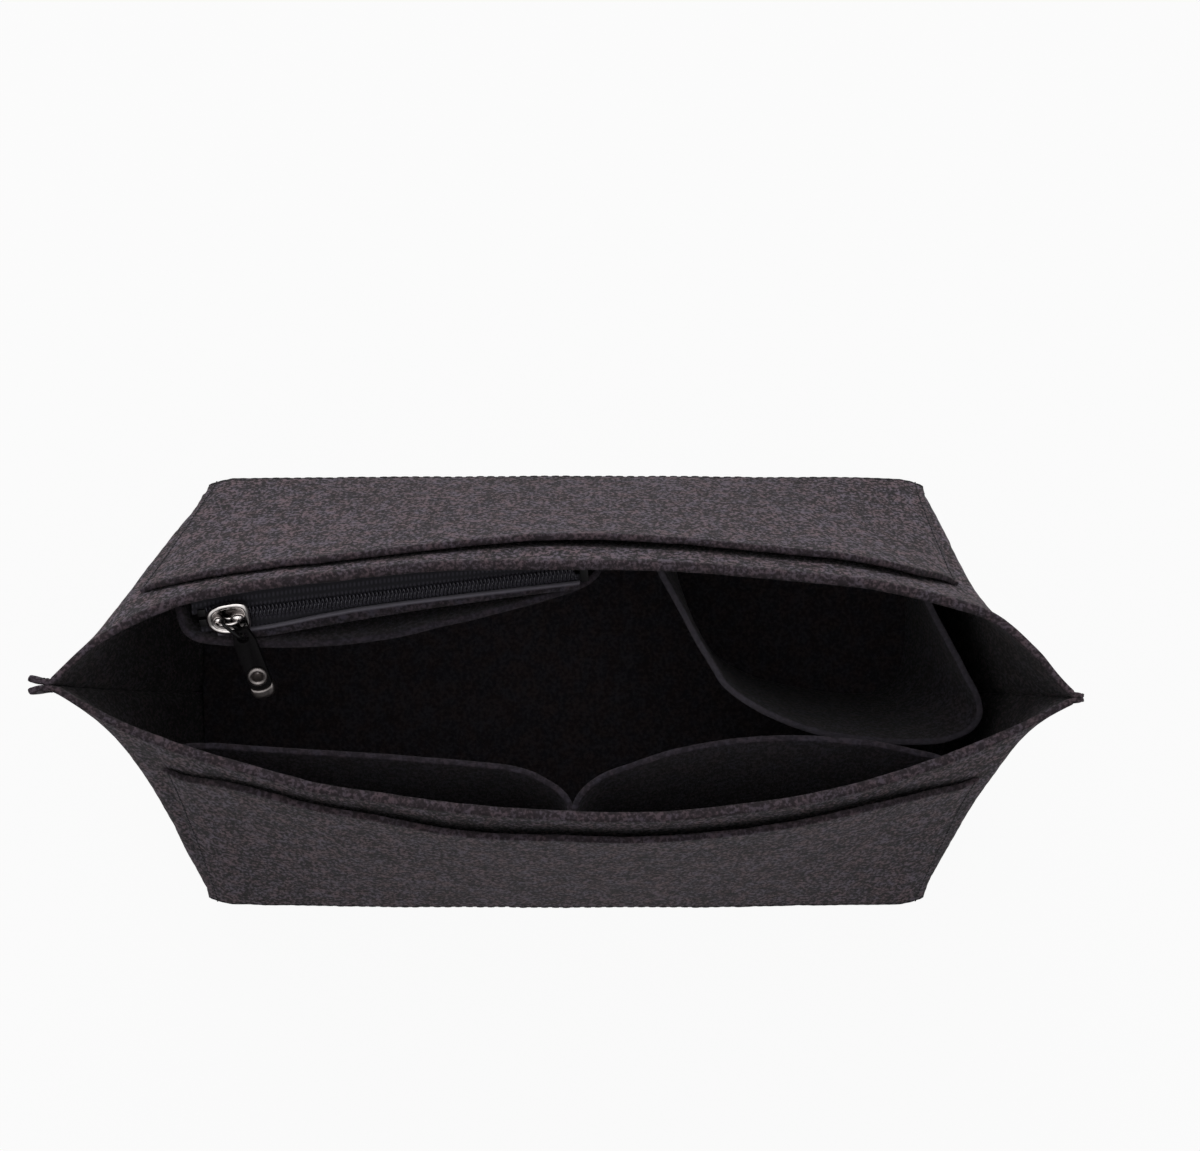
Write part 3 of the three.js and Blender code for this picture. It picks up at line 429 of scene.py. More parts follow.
def settle(piece, body, material, replaces=()):
    """Puts a piece in the scene with its material and its body, and hides the nodes that it
    stands for."""
    bpy.context.scene.collection.objects.link(piece)
    piece.data.materials.clear()
    piece.data.materials.append(material)
    piece.data.polygons.foreach_set("use_smooth", [True] * len(piece.data.polygons))
    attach(piece, body)
    if replaces:
        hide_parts(*replaces)
    return piece


def add_piece(name, points, faces, body, material, replaces=()):
    """A piece from points in millimetres, in metres."""
    mesh = bpy.data.meshes.new(name)
    faces = faces.tolist() if isinstance(faces, np.ndarray) else faces
    mesh.from_pydata((np.asarray(points).reshape(-1, 3) * MM).tolist(), [], faces)
    return settle(bpy.data.objects.new(name, mesh), body, material, replaces)


def point_attribute(piece, name, values):
    """Gives each vertex of a piece its value under a name."""
    attribute = piece.data.attributes.new(name, "FLOAT", "POINT")
    attribute.data.foreach_set("value", np.asarray(values, float).ravel())


def surface_normals(grid):
    """Unit normals of a grid of points: the cross product of its column and row directions."""
    return unit(np.cross(np.gradient(grid, axis=1), np.gradient(grid, axis=0)))


def border_distance(grid):
    """How far each point of a grid lies from the nearest of its four borders, along the grid."""
    def run(axis):
        steps = np.linalg.norm(np.diff(grid, axis=axis), axis=-1)
        start = np.zeros_like(np.take(steps, [0], axis=axis))
        there = np.concatenate([start, np.cumsum(steps, axis=axis)], axis=axis)
        return np.minimum(there, np.take(there, [-1], axis=axis) - there)
    return np.minimum(run(0), run(1))


def closed_sheet(middle, thickness):
    """Points and faces of a sheet round its middle surface. The thickness comes in at the cut
    edges along a superellipse, so they are square with rounded corners and close on themselves."""
    depth = np.clip(border_distance(middle) / (thickness / 2), 0, 1)
    swell = (1 - (1 - depth) ** 3) ** (1 / 3) * thickness / 2
    offset = surface_normals(middle) * swell[..., None]
    rows, columns = middle.shape[:2]
    top = np.arange(rows * columns).reshape(rows, columns)
    bottom = top.copy()
    inside = (rows - 2) * (columns - 2)
    bottom[1:-1, 1:-1] = rows * columns + np.arange(inside).reshape(rows - 2, columns - 2)
    under = (middle - offset)[1:-1, 1:-1]
    points = np.vstack([(middle + offset).reshape(-1, 3), under.reshape(-1, 3)])
    return points, np.vstack([quads(top), quads(bottom)[:, ::-1]])


def both_faces(values):
    """Values on a grid put in the order of a closed sheet's points."""
    values = np.asarray(values)
    tail = values.shape[2:]
    return np.concatenate([values.reshape(-1, *tail), values[1:-1, 1:-1].reshape(-1, *tail)])


# The middle surface and the thickness of each felt piece, by its name, for the rows of stitches
FELT_LAY = {}


def felt_piece(name, middle, thickness, material, replaces, lumps=0.1, seed=1, calm=0.0):
    """A closed felt sheet from a grid of points on its middle surface, with a soft uneven lie
    that is held back where the sheet is calm, as at a seam."""
    small, broad = LUMP_WIDTHS
    relief = lumps * hills(middle, small, seed) + 1.6 * lumps * hills(middle, broad, seed + 1)
    middle = middle + surface_normals(middle) * (relief * (1 - calm))[..., None]
    thickness = np.broadcast_to(thickness, middle.shape[:2])
    FELT_LAY[name] = middle, thickness
    points, faces = closed_sheet(middle, thickness)
    piece = add_piece(name, points, faces, "organizer", material, replaces)
    edge = np.clip(1 - border_distance(middle) / thickness, 0, 1)
    point_attribute(piece, "cut_edge", both_faces(edge))
    point_attribute(piece, "room_side", np.arange(len(points)) >= thickness.size)
    return piece


def painted_edge_highlight(piece, distance, share):
    """Paints a highlight along one cut edge, where it catches the light, fading out toward its
    corners.
    """
    fade = np.clip(1 - (distance - 0.25) / 0.5, 0, 1)
    point_attribute(piece, "painted_edge_highlight", both_faces(share * fade))


def seam_line(name, edge, inset, span=(0, 1)):
    """A line a set distance inside one edge of a felt sheet, on its outer face, and the normals
    along it. The edges are the first and last row and the first and last column."""
    middle, thickness = FELT_LAY[name]
    normal = surface_normals(middle)
    place = middle + normal * (thickness / 2)[..., None]
    if "row" in edge:
        place, normal = np.swapaxes(place, 0, 1), np.swapaxes(normal, 0, 1)
    run = lengths_along(place.mean(0))
    at = np.interp(inset if "first" in edge else run[-1] - inset, run, np.arange(len(run)))
    column = min(int(at), len(run) - 2)
    line, out = (mix(v[:, column], v[:, column + 1], at - column) for v in (place, normal))
    start, end = (round(v * (len(line) - 1)) for v in span)
    return line[start:end + 1], out[start:end + 1]


def stitches(name, seams):
    """Rows of thread stitches: each is a short tube that comes up out of the felt, lies along the
    seam on a flat arch and goes back in, its ends closed to a point."""
    rise, bite = STITCH["rise"], STITCH["bite"]
    arch = np.array([-bite, 0.6 * rise, rise, 0.6 * rise, -bite])
    thick = STITCH["thread"] / 2 * np.array([0.8, 1, 1, 1, 0.8])
    reach = STITCH["length"] * np.array([-0.5, -0.4, 0, 0.4, 0.5])
    turn = full_turn(STITCH["sides"])[:, None]
    band, fans = stack_faces(len(arch), len(turn))
    each = len(arch) * len(turn) + 2
    all_points, all_faces, used = [], [], 0
    for line, out in seams:
        run = lengths_along(line)
        count = max(1, int(run[-1] / (STITCH["length"] + STITCH["gap"])))
        at = ((np.arange(count) + 0.5) * run[-1] / count)[:, None] + reach
        path = read_along(line, run, at)
        up = unit(read_along(out, run, at))
        ahead = unit(path[:, -1:] - path[:, :1])
        side = unit(np.cross(ahead, up))
        path = path + up * arch[:, None]
        ring = path[:, :, None] + thick[:, None, None] * (
            side[:, :, None] * np.cos(turn) + up[:, :, None] * np.sin(turn))
        block = np.concatenate([path[:, :1], ring.reshape(count, -1, 3), path[:, -1:]], 1)
        start = used + np.arange(count)[:, None, None] * each
        all_points.append(block.reshape(-1, 3))
        all_faces += (start + band[:, ::-1]).reshape(-1, 4).tolist()
        all_faces += (start + fans[:, ::-1]).reshape(-1, 3).tolist()
        used += count * each
    return add_piece(name, np.vstack(all_points), all_faces, "organizer", thread)


# Materials

def linear(hex_colour):
    """An sRGB hex value as linear red, green, blue and alpha."""
    value = np.array([int(hex_colour[i:i + 2], 16) for i in (1, 3, 5)]) / 255
    value = np.where(value <= 0.04045, value / 12.92, ((value + 0.055) / 1.055) ** 2.4)
    return (*value.tolist(), 1.0)


def plug(material, node, inputs):
    """Sets each named input of a node to a value, or links it to a socket."""
    for name, value in inputs.items():
        if isinstance(value, bpy.types.NodeSocket):
            material.node_tree.links.new(value, node.inputs[name])
        else:
            node.inputs[name].default_value = value


def add_node(material, kind, inputs=None, stops=(), **settings):
    """Adds a node to a material or world. An input is a value or the socket linked to it,
    settings are the node's attributes and stops are a colour ramp's places and hex colours."""
    made = material.node_tree.nodes.new(kind)
    for name, value in settings.items():
        setattr(made, name, value)
    plug(material, made, inputs or {})
    if stops:
        elements = made.color_ramp.elements
        while len(elements) < len(stops):
            elements.new(0.5)
        for element, (position, colour) in zip(elements, stops):
            element.position = position
            element.color = linear(colour)
    return made


def start_material(name, inputs):
    """A material with one surface shader, whose inputs are set here or linked later."""
    material = bpy.data.materials.new(name)
    material.use_nodes = True
    shader = material.node_tree.nodes["Principled BSDF"]
    plug(material, shader, inputs)
    return material, shader


def felt_material(name, dark, middle, light, painted_room_shade, painted_edge_shade):
    """Needled felt of mixed dark and pale fibres: dull, with clumps drawn longer up the wall as
    the needling leaves them, and a nap that catches light at a slant. The side toward the room
    and the cut edges are darkened as painted shade, and one cut edge can carry a painted
    highlight. A fibre is 0.02 mm thick and too fine to show, so the clumps are drawn 1.1 mm wide
    (a scale of 920 a metre), with clouds of 5 mm and a nap of 0.9 mm."""
    material, shader = start_material(name, {
        "Roughness": 0.96, "Specular IOR Level": 0.12, "Sheen Weight": 0.1,
        "Sheen Roughness": 0.6})
    place = add_node(material, "ShaderNodeTexCoord").outputs["Object"]
    place = add_node(material, "ShaderNodeMapping", {
        "Vector": place, "Scale": (1, 1, 0.42)}).outputs[0]
    fibres = add_node(material, "ShaderNodeTexNoise", {
        "Vector": place, "Scale": 920, "Detail": 2, "Roughness": 0.6})
    clouds = add_node(material, "ShaderNodeTexNoise", {
        "Vector": place, "Scale": 190, "Detail": 2, "Roughness": 0.5})
    blend = add_node(material, "ShaderNodeMix", {
        0: 0.2, 2: fibres.outputs["Fac"], 3: clouds.outputs["Fac"]})
    heather = add_node(material, "ShaderNodeValToRGB", {"Fac": blend.outputs[0]},
                       stops=[(0.42, dark), (0.5, middle), (0.58, light)])
    hue = add_node(material, "ShaderNodeTexNoise", {
        "Vector": place, "Scale": 240, "Detail": 1, "Roughness": 0.5})
    warm = add_node(material, "ShaderNodeValToRGB", {"Fac": hue.outputs["Fac"]},
                    stops=[(0.36, "#f2f4ff"), (0.64, "#ffefee")])
    heather = add_node(material, "ShaderNodeVectorMath", {
        0: heather.outputs["Color"], 1: warm.outputs["Color"]}, operation="MULTIPLY")
    edge, pale, room = (add_node(material, "ShaderNodeAttribute", attribute_name=kind)
                        for kind in ("cut_edge", "painted_edge_highlight", "room_side"))
    plain = add_node(material, "ShaderNodeMath", {0: edge.outputs["Fac"], 1: 0.55},
                     operation="MULTIPLY")
    even = add_node(material, "ShaderNodeMix", {
        "Factor": plain.outputs[0], "A": heather.outputs[0], "B": linear(middle)},
        data_type="RGBA")
    # Painted shade: the side toward the room and the cut edges are darkened by these factors.
    shade = add_node(material, "ShaderNodeMix", {0: room.outputs["Fac"], 2: 1.0, 3: painted_room_shade})
    shade = add_node(material, "ShaderNodeMix", {
        0: edge.outputs["Fac"], 2: shade.outputs[0], 3: painted_edge_shade})
    tone = add_node(material, "ShaderNodeVectorMath", {
        0: even.outputs["Result"], "Scale": shade.outputs[0]}, operation="SCALE")
    # Painted highlight: a pale bluish grey mixed in along a cut edge that catches the light.
    tone = add_node(material, "ShaderNodeMix", {
        "Factor": pale.outputs["Fac"], "A": tone.outputs[0], "B": linear("#97939f")},
        data_type="RGBA")
    nap = add_node(material, "ShaderNodeTexNoise", {
        "Vector": place, "Scale": 1100, "Detail": 4, "Roughness": 0.7})
    bump = add_node(material, "ShaderNodeBump", {
        "Strength": 0.6, "Distance": 0.0005, "Height": nap.outputs["Fac"]})
    plug(material, shader, {"Base Color": tone.outputs["Result"], "Normal": bump.outputs[0]})
    return material


def tape_material():
    """Woven polyester zip tape, which shows fine dull threads both ways. They are 0.4 mm apart
    and too fine to show, so the bands are drawn 2 mm and 1.2 mm apart."""
    material, shader = start_material("woven_polyester_tape", {
        "Roughness": 0.8, "Specular IOR Level": 0.25, "Sheen Weight": 0.1})
    place = add_node(material, "ShaderNodeUVMap", uv_map="weave").outputs["UV"]
    warp, weft = (add_node(material, "ShaderNodeTexWave", {
        "Vector": place, "Scale": scale, "Distortion": 0.4, "Detail": 1}, bands_direction=way)
        for scale, way in ((160, "Y"), (260, "X")))
    weave = add_node(material, "ShaderNodeMath", {0: warp.outputs["Fac"], 1: weft.outputs["Fac"]},
                     operation="MULTIPLY")
    colour = add_node(material, "ShaderNodeValToRGB", {"Fac": weave.outputs[0]},
                      stops=[(0.1, "#2b2a30"), (0.8, "#4a4851")])
    bump = add_node(material, "ShaderNodeBump", {
        "Strength": 0.6, "Distance": 0.0002, "Height": weave.outputs[0]})
    plug(material, shader, {"Base Color": colour.outputs["Color"], "Normal": bump.outputs[0]})
    return material


def speckled_material(name, colours, scale, depth, inputs):
    """A plain material whose colour and relief vary with one fine noise."""
    material, shader = start_material(name, inputs)
    place = add_node(material, "ShaderNodeTexCoord").outputs["Object"]
    noise = add_node(material, "ShaderNodeTexNoise", {
        "Vector": place, "Scale": scale, "Detail": 3, "Roughness": 0.6})
    colour = add_node(material, "ShaderNodeValToRGB", {"Fac": noise.outputs["Fac"]},
                      stops=[(0.35, colours[0]), (0.65, colours[1])])
    bump = add_node(material, "ShaderNodeBump", {
        "Strength": 0.5, "Distance": depth, "Height": noise.outputs["Fac"]})
    plug(material, shader, {"Base Color": colour.outputs["Color"], "Normal": bump.outputs[0]})
    return material


def nickel_material(name, roughness, colours):
    """Nickel plate: on the die-cast slider a warm grey mirror with faint rubbing marks of about a
    millimetre, its sunk field drawn dark as painted shade, and on the stamped rivet and clip a
    duller one whose darker colour is painted shade."""
    material, shader = start_material(name, {"Metallic": 1.0})
    place = add_node(material, "ShaderNodeTexCoord").outputs["Object"]
    marks = add_node(material, "ShaderNodeTexNoise", {
        "Vector": place, "Scale": 900, "Detail": 3, "Roughness": 0.6})
    rough = add_node(material, "ShaderNodeMapRange", {
        "Value": marks.outputs["Fac"], "To Min": roughness[0], "To Max": roughness[1]})
    tint = add_node(material, "ShaderNodeValToRGB", {"Fac": marks.outputs["Fac"]},
                    stops=[(0.3, colours[0]), (0.7, colours[1])])
    recess_shade = add_node(material, "ShaderNodeAttribute", attribute_name="recess_shade")
    # Painted shade: where marked, the sunk field's colour is mixed toward dark grey.
    tint = add_node(material, "ShaderNodeMix", {
        "Factor": recess_shade.outputs["Fac"], "A": tint.outputs["Color"], "B": linear("#3b3736")},
        data_type="RGBA")
    plug(material, shader, {"Base Color": tint.outputs["Result"], "Roughness": rough.outputs[0]})
    return material


def leather_material():
    """Smooth finished black leather: fine pebbles half a millimetre across and a low shine."""
    material, shader = start_material("finished_leather", {
        "Roughness": 0.6, "Specular IOR Level": 0.12})
    place = add_node(material, "ShaderNodeTexCoord").outputs["Object"]
    pebbles = add_node(material, "ShaderNodeTexVoronoi", {
        "Vector": place, "Scale": 1700}, feature="SMOOTH_F1").outputs["Distance"]
    colour = add_node(material, "ShaderNodeValToRGB", {"Fac": pebbles},
                      stops=[(0.2, "#100e10"), (0.8, "#080708")])
    bump = add_node(material, "ShaderNodeBump", {
        "Strength": 0.4, "Distance": 0.00012, "Height": pebbles})
    plug(material, shader, {"Base Color": colour.outputs["Color"], "Normal": bump.outputs[0]})
    return material


# The last two numbers darken the side toward the room and the cut edges, as painted shade.
wall_felt = felt_material("charcoal_felt", "#1b161a", "#484045", "#83767f", 0.43, 0.87)
# The pockets' felt is the wall's felt drawn darker, as painted shade for the inside of the bag.
pocket_felt = felt_material("inner_felt_painted_shade", "#282429", "#403b42", "#5c5660", 1.0, 0.9)
floor_felt = felt_material("floor_felt", "#3a373b", "#454245", "#524e51", 1.0, 1.0)
woven_tape = tape_material()
# Nylon filament, drawn and wound: smooth with a soft shine, its tone uneven over 1.4 mm
nylon = speckled_material("moulded_nylon", ("#33313a", "#4a4852"), 700, 0.00005,
                          {"Roughness": 0.38, "Specular IOR Level": 0.5})
# Twisted polyester thread: dull, with plies of 0.4 mm
thread = speckled_material("sewing_thread", ("#1c1a1e", "#343036"), 2500, 0.0001,
                           {"Roughness": 0.7, "Specular IOR Level": 0.3})
# Sprayed lacquer on wire and stamped stops: black with a broken shine, uneven over 2.5 mm
lacquer = speckled_material("black_lacquer", ("#0d0d0e", "#151416"), 400, 0.00002,
                            {"Roughness": 0.45, "Specular IOR Level": 0.25})
# Pressed fibre board: flat black with flecks of 2 mm
board = speckled_material("fibre_board", ("#151416", "#242226"), 500, 0.0001,
                          {"Roughness": 0.7})
nickel = nickel_material("polished_nickel", (0.07, 0.2), ("#cfc8c6", "#ddd8d6"))
# Rivet and clip: rougher nickel, its darker colours painted shade for the bag's shadow they hang
# in
shaded_dull_nickel = nickel_material("shaded_stamped_nickel", (0.34, 0.5), ("#7d7776", "#918b89"))
leather = leather_material()


# Walls

def half_wall(side, end):
    """One end of a wall, from its raw edge to the wall's middle. At each place: the base line
    and the mouth line in plan, how deep a corner's hollow is there and the power of the height
    that places it, how far the raw fin flares and how much of its thickness the seam leaves. The
    mouth line is a cubic Bezier curve read by length; the base line is a bowed end, a round
    corner and a straight."""
    m, half, reach = MOUTH[side], MOUTH_HALF[end], FIN_REACH[end]
    heading = math.radians(m["heading"])
    crest = m["depth"] - WALL_FELT / 2
    knots = np.array([
        [half, SEAM_MIDDLE],
        [half - m["tip"] * math.cos(heading), SEAM_MIDDLE + m["tip"] * math.sin(heading)],
        [m["mid"], crest],
        [0, crest],
    ])
    t = np.linspace(0, 1, CURVE_STEPS)[:, None]
    curve = np.hstack([(1 - t) ** 3, 3 * t * (1 - t) ** 2, 3 * t ** 2 * (1 - t), t ** 3]) @ knots
    corner = MID_DEPTH - MID_CORNER

    inward = np.concatenate([FIN_EDGE_STEPS, np.linspace(1.05, reach, 7)])[:-1]
    fin = reach - inward
    fin_base, fin_mouth = (np.stack([x + fin, np.full(fin.size, SEAM_MIDDLE)], 1)
                           for x in (SEAM_X, half))
    g = np.linspace(0, 1, GUSSET_STEPS)
    gusset = np.stack([MID_LENGTH + BASE_BOW * (1 - g * g), mix(SEAM_MIDDLE, corner, g)], 1)
    c = np.linspace(0, 1, CORNER_STEPS)[1:]
    turn = c * math.pi / 2
    bend = np.stack([MID_LENGTH - MID_CORNER * (1 - np.cos(turn)),
                     corner + MID_CORNER * np.sin(turn)], 1)
    w = np.linspace(0, 1, STRAIGHT_STEPS)[1:]
    straight = np.stack([(MID_LENGTH - MID_CORNER) * (1 - w), np.full(w.size, MID_DEPTH)], 1)
    shares = np.concatenate([GUSSET_MOUTH_SHARE * g,
                             mix(GUSSET_MOUTH_SHARE, CORNER_MOUTH_SHARE, c),
                             mix(CORNER_MOUTH_SHARE, 1, w)])
    base = np.vstack([fin_base, gusset, bend, straight])
    rim = np.vstack([fin_mouth, resample(curve, shares)])
    rest = len(base) - fin.size
    hollow = np.concatenate([np.zeros(fin.size), g, np.ones(c.size),
                             np.maximum(0, 1 - w / HOLLOW_REACH_SHARE)])
    beyond = np.concatenate([fin / reach, np.zeros(rest)])
    press = np.concatenate([np.zeros(fin.size), ease(g / SEAM_PRESS_SHARE),
                            np.ones(rest - g.size)])
    sign = np.array([-1 if end == "left" else 1, SIDE_SIGN[side]])
    deep, power = DRAWN_IN[side][end]
    return {"base": base * sign, "rim": rim * sign, "hollow": hollow * deep,
            "power": np.full(len(base), power), "flare": beyond ** 3 * FIN_FLARE[end],
            "press": mix(SEAM_PRESS, 1, press)}


def whole_wall(side):
    """Both ends of a wall joined in the middle, from its left raw edge to its right one."""
    left, right = half_wall(side, "left"), half_wall(side, "right")
    return {name: np.concatenate([left[name][:-1], right[name][::-1]]) for name in left}


WALLS = {side: whole_wall(side) for side in SIDE_SIGN}


def rim_height(side):
    """The height of each place of a rim, which follows from felt of one width, averaged along
    the rim."""
    base, rim = WALLS[side]["base"], WALLS[side]["rim"]
    height = np.sqrt(WALL_SLANT ** 2 - ((base - rim) ** 2).sum(1))
    run = lengths_along(rim)
    nearby = np.linspace(-RIM_MEAN_REACH, RIM_MEAN_REACH, 29)
    return np.interp(run[:, None] + nearby, run, height).mean(1)


def wall_middle(side, share):
    """Points of a wall's middle surface: straight lines from base to mouth, pushed in or out near
    the corners by a sine of the height, out behind the zip by a bell, and leaning at the slack
    rim by the height's square."""
    wall = WALLS[side]
    base, rim = wall["base"], wall["rim"]
    share = np.broadcast_to(share, (len(share), len(base)))
    height = rim_height(side) * share
    plan = smoothed(base + (rim - base) * share[..., None], 3)
    ahead = unit(np.gradient(plan, axis=1))
    outward = np.stack([-ahead[..., 1], ahead[..., 0]], -1) * SIDE_SIGN[side]
    push = wall["flare"] * ease((share - RIM_ZONE) / (1 - RIM_ZONE))
    push = push - wall["hollow"] * np.sin(math.pi * share ** wall["power"])
    plan = plan + outward * push[..., None]
    if side == "back":
        h = ZIP_HOLLOW
        off = (plan[..., 0] - h["x"]) / h["wide"], (height - h["z"]) / h["high"]
        plan = plan + outward * (h["depth"] * np.exp(-off[0] ** 2 - off[1] ** 2))[..., None]
    from_tip = by_end(rim[:, 0], MOUTH_HALF) - np.abs(rim[:, 0])
    near_seam = ease((SEAM_LEAN_RUN[0] - from_tip) / SEAM_LEAN_RUN[1])
    lean = mix(spread_mean(rim[:, 0], RIM_LEAN[side], 6), by_end(rim[:, 0], SEAM_LEAN), near_seam)
    plan[..., 1] += lean * share ** 2
    return np.concatenate([plan, height[..., None]], -1), outward


def depth_table(side):
    """How far a wall's inner face lies from the middle plane, on a grid of places and heights."""
    middle, outward = wall_middle(side, DEPTH_Z[:, None] / rim_height(side)[None, :])
    inner = middle[..., :2] - outward * WALL_FELT / 2
    return np.array([np.interp(DEPTH_X, row[BETWEEN_SEAMS, 0], np.abs(row[BETWEEN_SEAMS, 1]))
                     for row in inner])


DEPTHS = {side: depth_table(side) for side in SIDE_SIGN}


def wall_depth(side, x, z):
    """How far a wall's inner face lies from the middle plane at places x and heights z."""
    return read_grid(DEPTHS[side], (z - DEPTH_Z[0]) / DEPTH_STEP, x - DEPTH_X[0])


def wall_surface(side, x, share):
    """The wall's middle surface at places x and shares of its height, read from a table whose
    rows are the wall at one height each."""
    middle, _ = wall_middle(side, WALL_SHARES[:, None])
    y, z = (read_grid(np.array([np.interp(DEPTH_X, row[BETWEEN_SEAMS, 0], row[BETWEEN_SEAMS, k])
                                for row in middle]),
                      share * (len(WALL_SHARES) - 1), x - DEPTH_X[0]) for k in (1, 2))
    return np.stack([x, y, z], -1)


def wall_piece(side):
    """A wall panel. The seams press it thin, more so toward the tips of the mouth and not at all
    at their foot, and a fin that flares at the rim grows a little."""
    wall = WALLS[side]
    rows = edge_places(WALL_ROWS, WALL_SLANT, WALL_FELT / 2)[:, None]
    middle, _ = wall_middle(side, rows)
    joined = np.abs(wall["base"][:, 0]) <= SEAM_X + 0.01
    press = mix(wall["press"], 1, (1 - ease(rows / SEAM_FOOT_SHARE)) * joined)
    mouth_x = wall["rim"][:, 0]
    thin = ease((by_end(mouth_x, MOUTH_HALF) - np.abs(mouth_x)) / TIP_REACH)
    thin = mix(1, mix(TIP_PRESS, 1, thin), rows ** 3 * (press > SEAM_PRESS + 0.01))
    swell = np.where(wall["flare"] < 0, *FIN_SWELL) * wall["flare"]
    press = press * thin * (1 + swell * ease((rows - RIM_ZONE) / (1 - RIM_ZONE)))
    waves = RIM_WAVES["high"] * hills(middle * [1, 1, 0], RIM_WAVES["long"], RIM_WAVES["seed"])
    middle[..., 2] += waves * ease((rows - RIM_WAVES["from"]) / (1 - RIM_WAVES["from"]))
    calm = np.broadcast_to((1 - press) / (1 - SEAM_PRESS), middle.shape[:2])
    if SIDE_SIGN[side] > 0:
        middle, press, calm = middle[:, ::-1], press[:, ::-1], calm[:, ::-1]
    return felt_piece(side + "_wall_felt", middle, WALL_FELT * press, wall_felt,
                      [side + "_panel"], seed=OUTSIDE_SEED, calm=calm)


def seam_tabs():
    """The corners of the base felt that are caught in the side seams: a flat sheet at each end
    that narrows from the base's edge into the seam."""
    tab = SEAM_TAB
    for end, sign in (("left", -1), ("right", 1)):
        run, wide = np.meshgrid(edge_places(6, 6, 1.0), edge_places(5, 5, 1.0) * 2 - 1)
        x, y = mix(*tab["x"], run), wide * mix(*tab["half"], run) * sign
        middle = np.stack([x * sign, y, np.full(x.shape, tab["z"])], -1)
        felt_piece(end + "_base_tab", middle, tab["thickness"], wall_felt, [], lumps=0)


def outer_pocket(side):
    """A flat sheet over the straight of a wall, sewn down at its sides and foot, whose top gapes
    by its table; it stands off along the wall's normals."""
    rows = edge_places(OUTER_GRID[0], WALL_SLANT, POCKET_FELT / 2)[:, None]
    across = edge_places(OUTER_GRID[1], 2 * OUTER_FOOT, POCKET_FELT / 2)
    top_x = mix(*OUTER_TOP[side], across)
    foot_x = mix(-OUTER_FOOT, OUTER_FOOT, across)
    drop = spread_mean(top_x, OUTER_DROP[side], 5)
    share = mix(OUTER_HEM / WALL_SLANT, 1 - drop / WALL_SLANT, rows)
    wall = wall_surface(side, mix(foot_x, top_x, rows), share)
    free = ease(np.minimum(across, 1 - across) * 2 * OUTER_FOOT / SEWN["reach"])
    gape = spread_mean(top_x, OUTER_GAPE[side], 5) * rows ** 2
    thickness = POCKET_FELT * mix(SEWN["press"], 1, free)
    away = WALL_FELT / 2 + mix(SEWN["gap"], HANG_GAP, free) + gape + thickness / 2
    middle = wall - surface_normals(wall) * (away * SIDE_SIGN[side])[..., None]
    if SIDE_SIGN[side] > 0:
        middle, thickness = middle[:, ::-1], thickness[::-1]
    return felt_piece(side + "_outer_pocket_felt", middle, thickness, wall_felt,
                      [side + "_outer_pocket"], seed=OUTSIDE_SEED)


# Inner pockets

def against_wall(side, line, z):
    """The line with the places that lie beyond the wall brought back to where its felt hangs."""
    hang = wall_depth(side, line[:, 0], z) - HANG_GAP
    return np.column_stack([line[:, 0], np.minimum(line[:, 1], hang)])


def hung_sheet(name, node, side, line, foot_share, top, seed):
    """A sheet inside a wall: its top edge follows a line in plan, and straight lines bring it
    down to the wall's foot."""
    sign = SIDE_SIGN[side]
    rows = edge_places(*HUNG_ROWS, POCKET_FELT / 2)[:, None]
    height = mix(POCKET_FOOT, top, rows)
    touch = HANG_GAP + POCKET_FELT / 2
    reach = np.maximum(wall_depth(side, line[:, 0], top) - line[:, 1], touch)
    x = line[:, 0] * mix(foot_share, 1, rows)
    y = sign * (wall_depth(side, x, height) - mix(touch, reach, rows))
    middle = smoothed(np.stack([x, y, height], -1), 2)
    if sign > 0:
        middle = middle[:, ::-1]
    return felt_piece(name, middle, POCKET_FELT, pocket_felt, [node], lumps=0.06, seed=seed)


def front_inner_pocket():
    """One sheet with a belly on each side of the seam that holds its middle to the wall."""
    top = FRONT_POCKET["top"]
    line = np.vstack([smooth_run(FRONT_LINE_LEFT, KNOT_STEPS),
                      smooth_run(FRONT_LINE_RIGHT, KNOT_STEPS)])
    line = resample(against_wall("front", line, top),
                    edge_places(*FRONT_COLUMNS, POCKET_FELT / 2))
    return hung_sheet("front_pocket_felt", "front_inner_pocket", "front", line,
                      FRONT_POCKET["foot_share"], np.full(len(line), top), 21)


def back_slip_pocket():
    """A sheet before the zip pocket, whose top edge sags from the height of the chain."""
    s = SLIP_POCKET
    line = against_wall("back", smooth_run(SLIP_LINE, KNOT_STEPS), zip_origin[2])
    line = resample(line, edge_places(*SLIP_COLUMNS, POCKET_FELT / 2))
    share = np.clip((line[:, 0] - s["left"]) / (s["right"] - s["left"]), 0, 1)
    top = zip_origin[2] + s["above_zip"] - s["sag"] * np.sin(share * math.pi) ** 2
    top -= s["right_drop"] * share ** 2
    return hung_sheet("slip_pocket_felt", "back_slip_pocket", "back", line, s["foot_share"], top,
                      31)


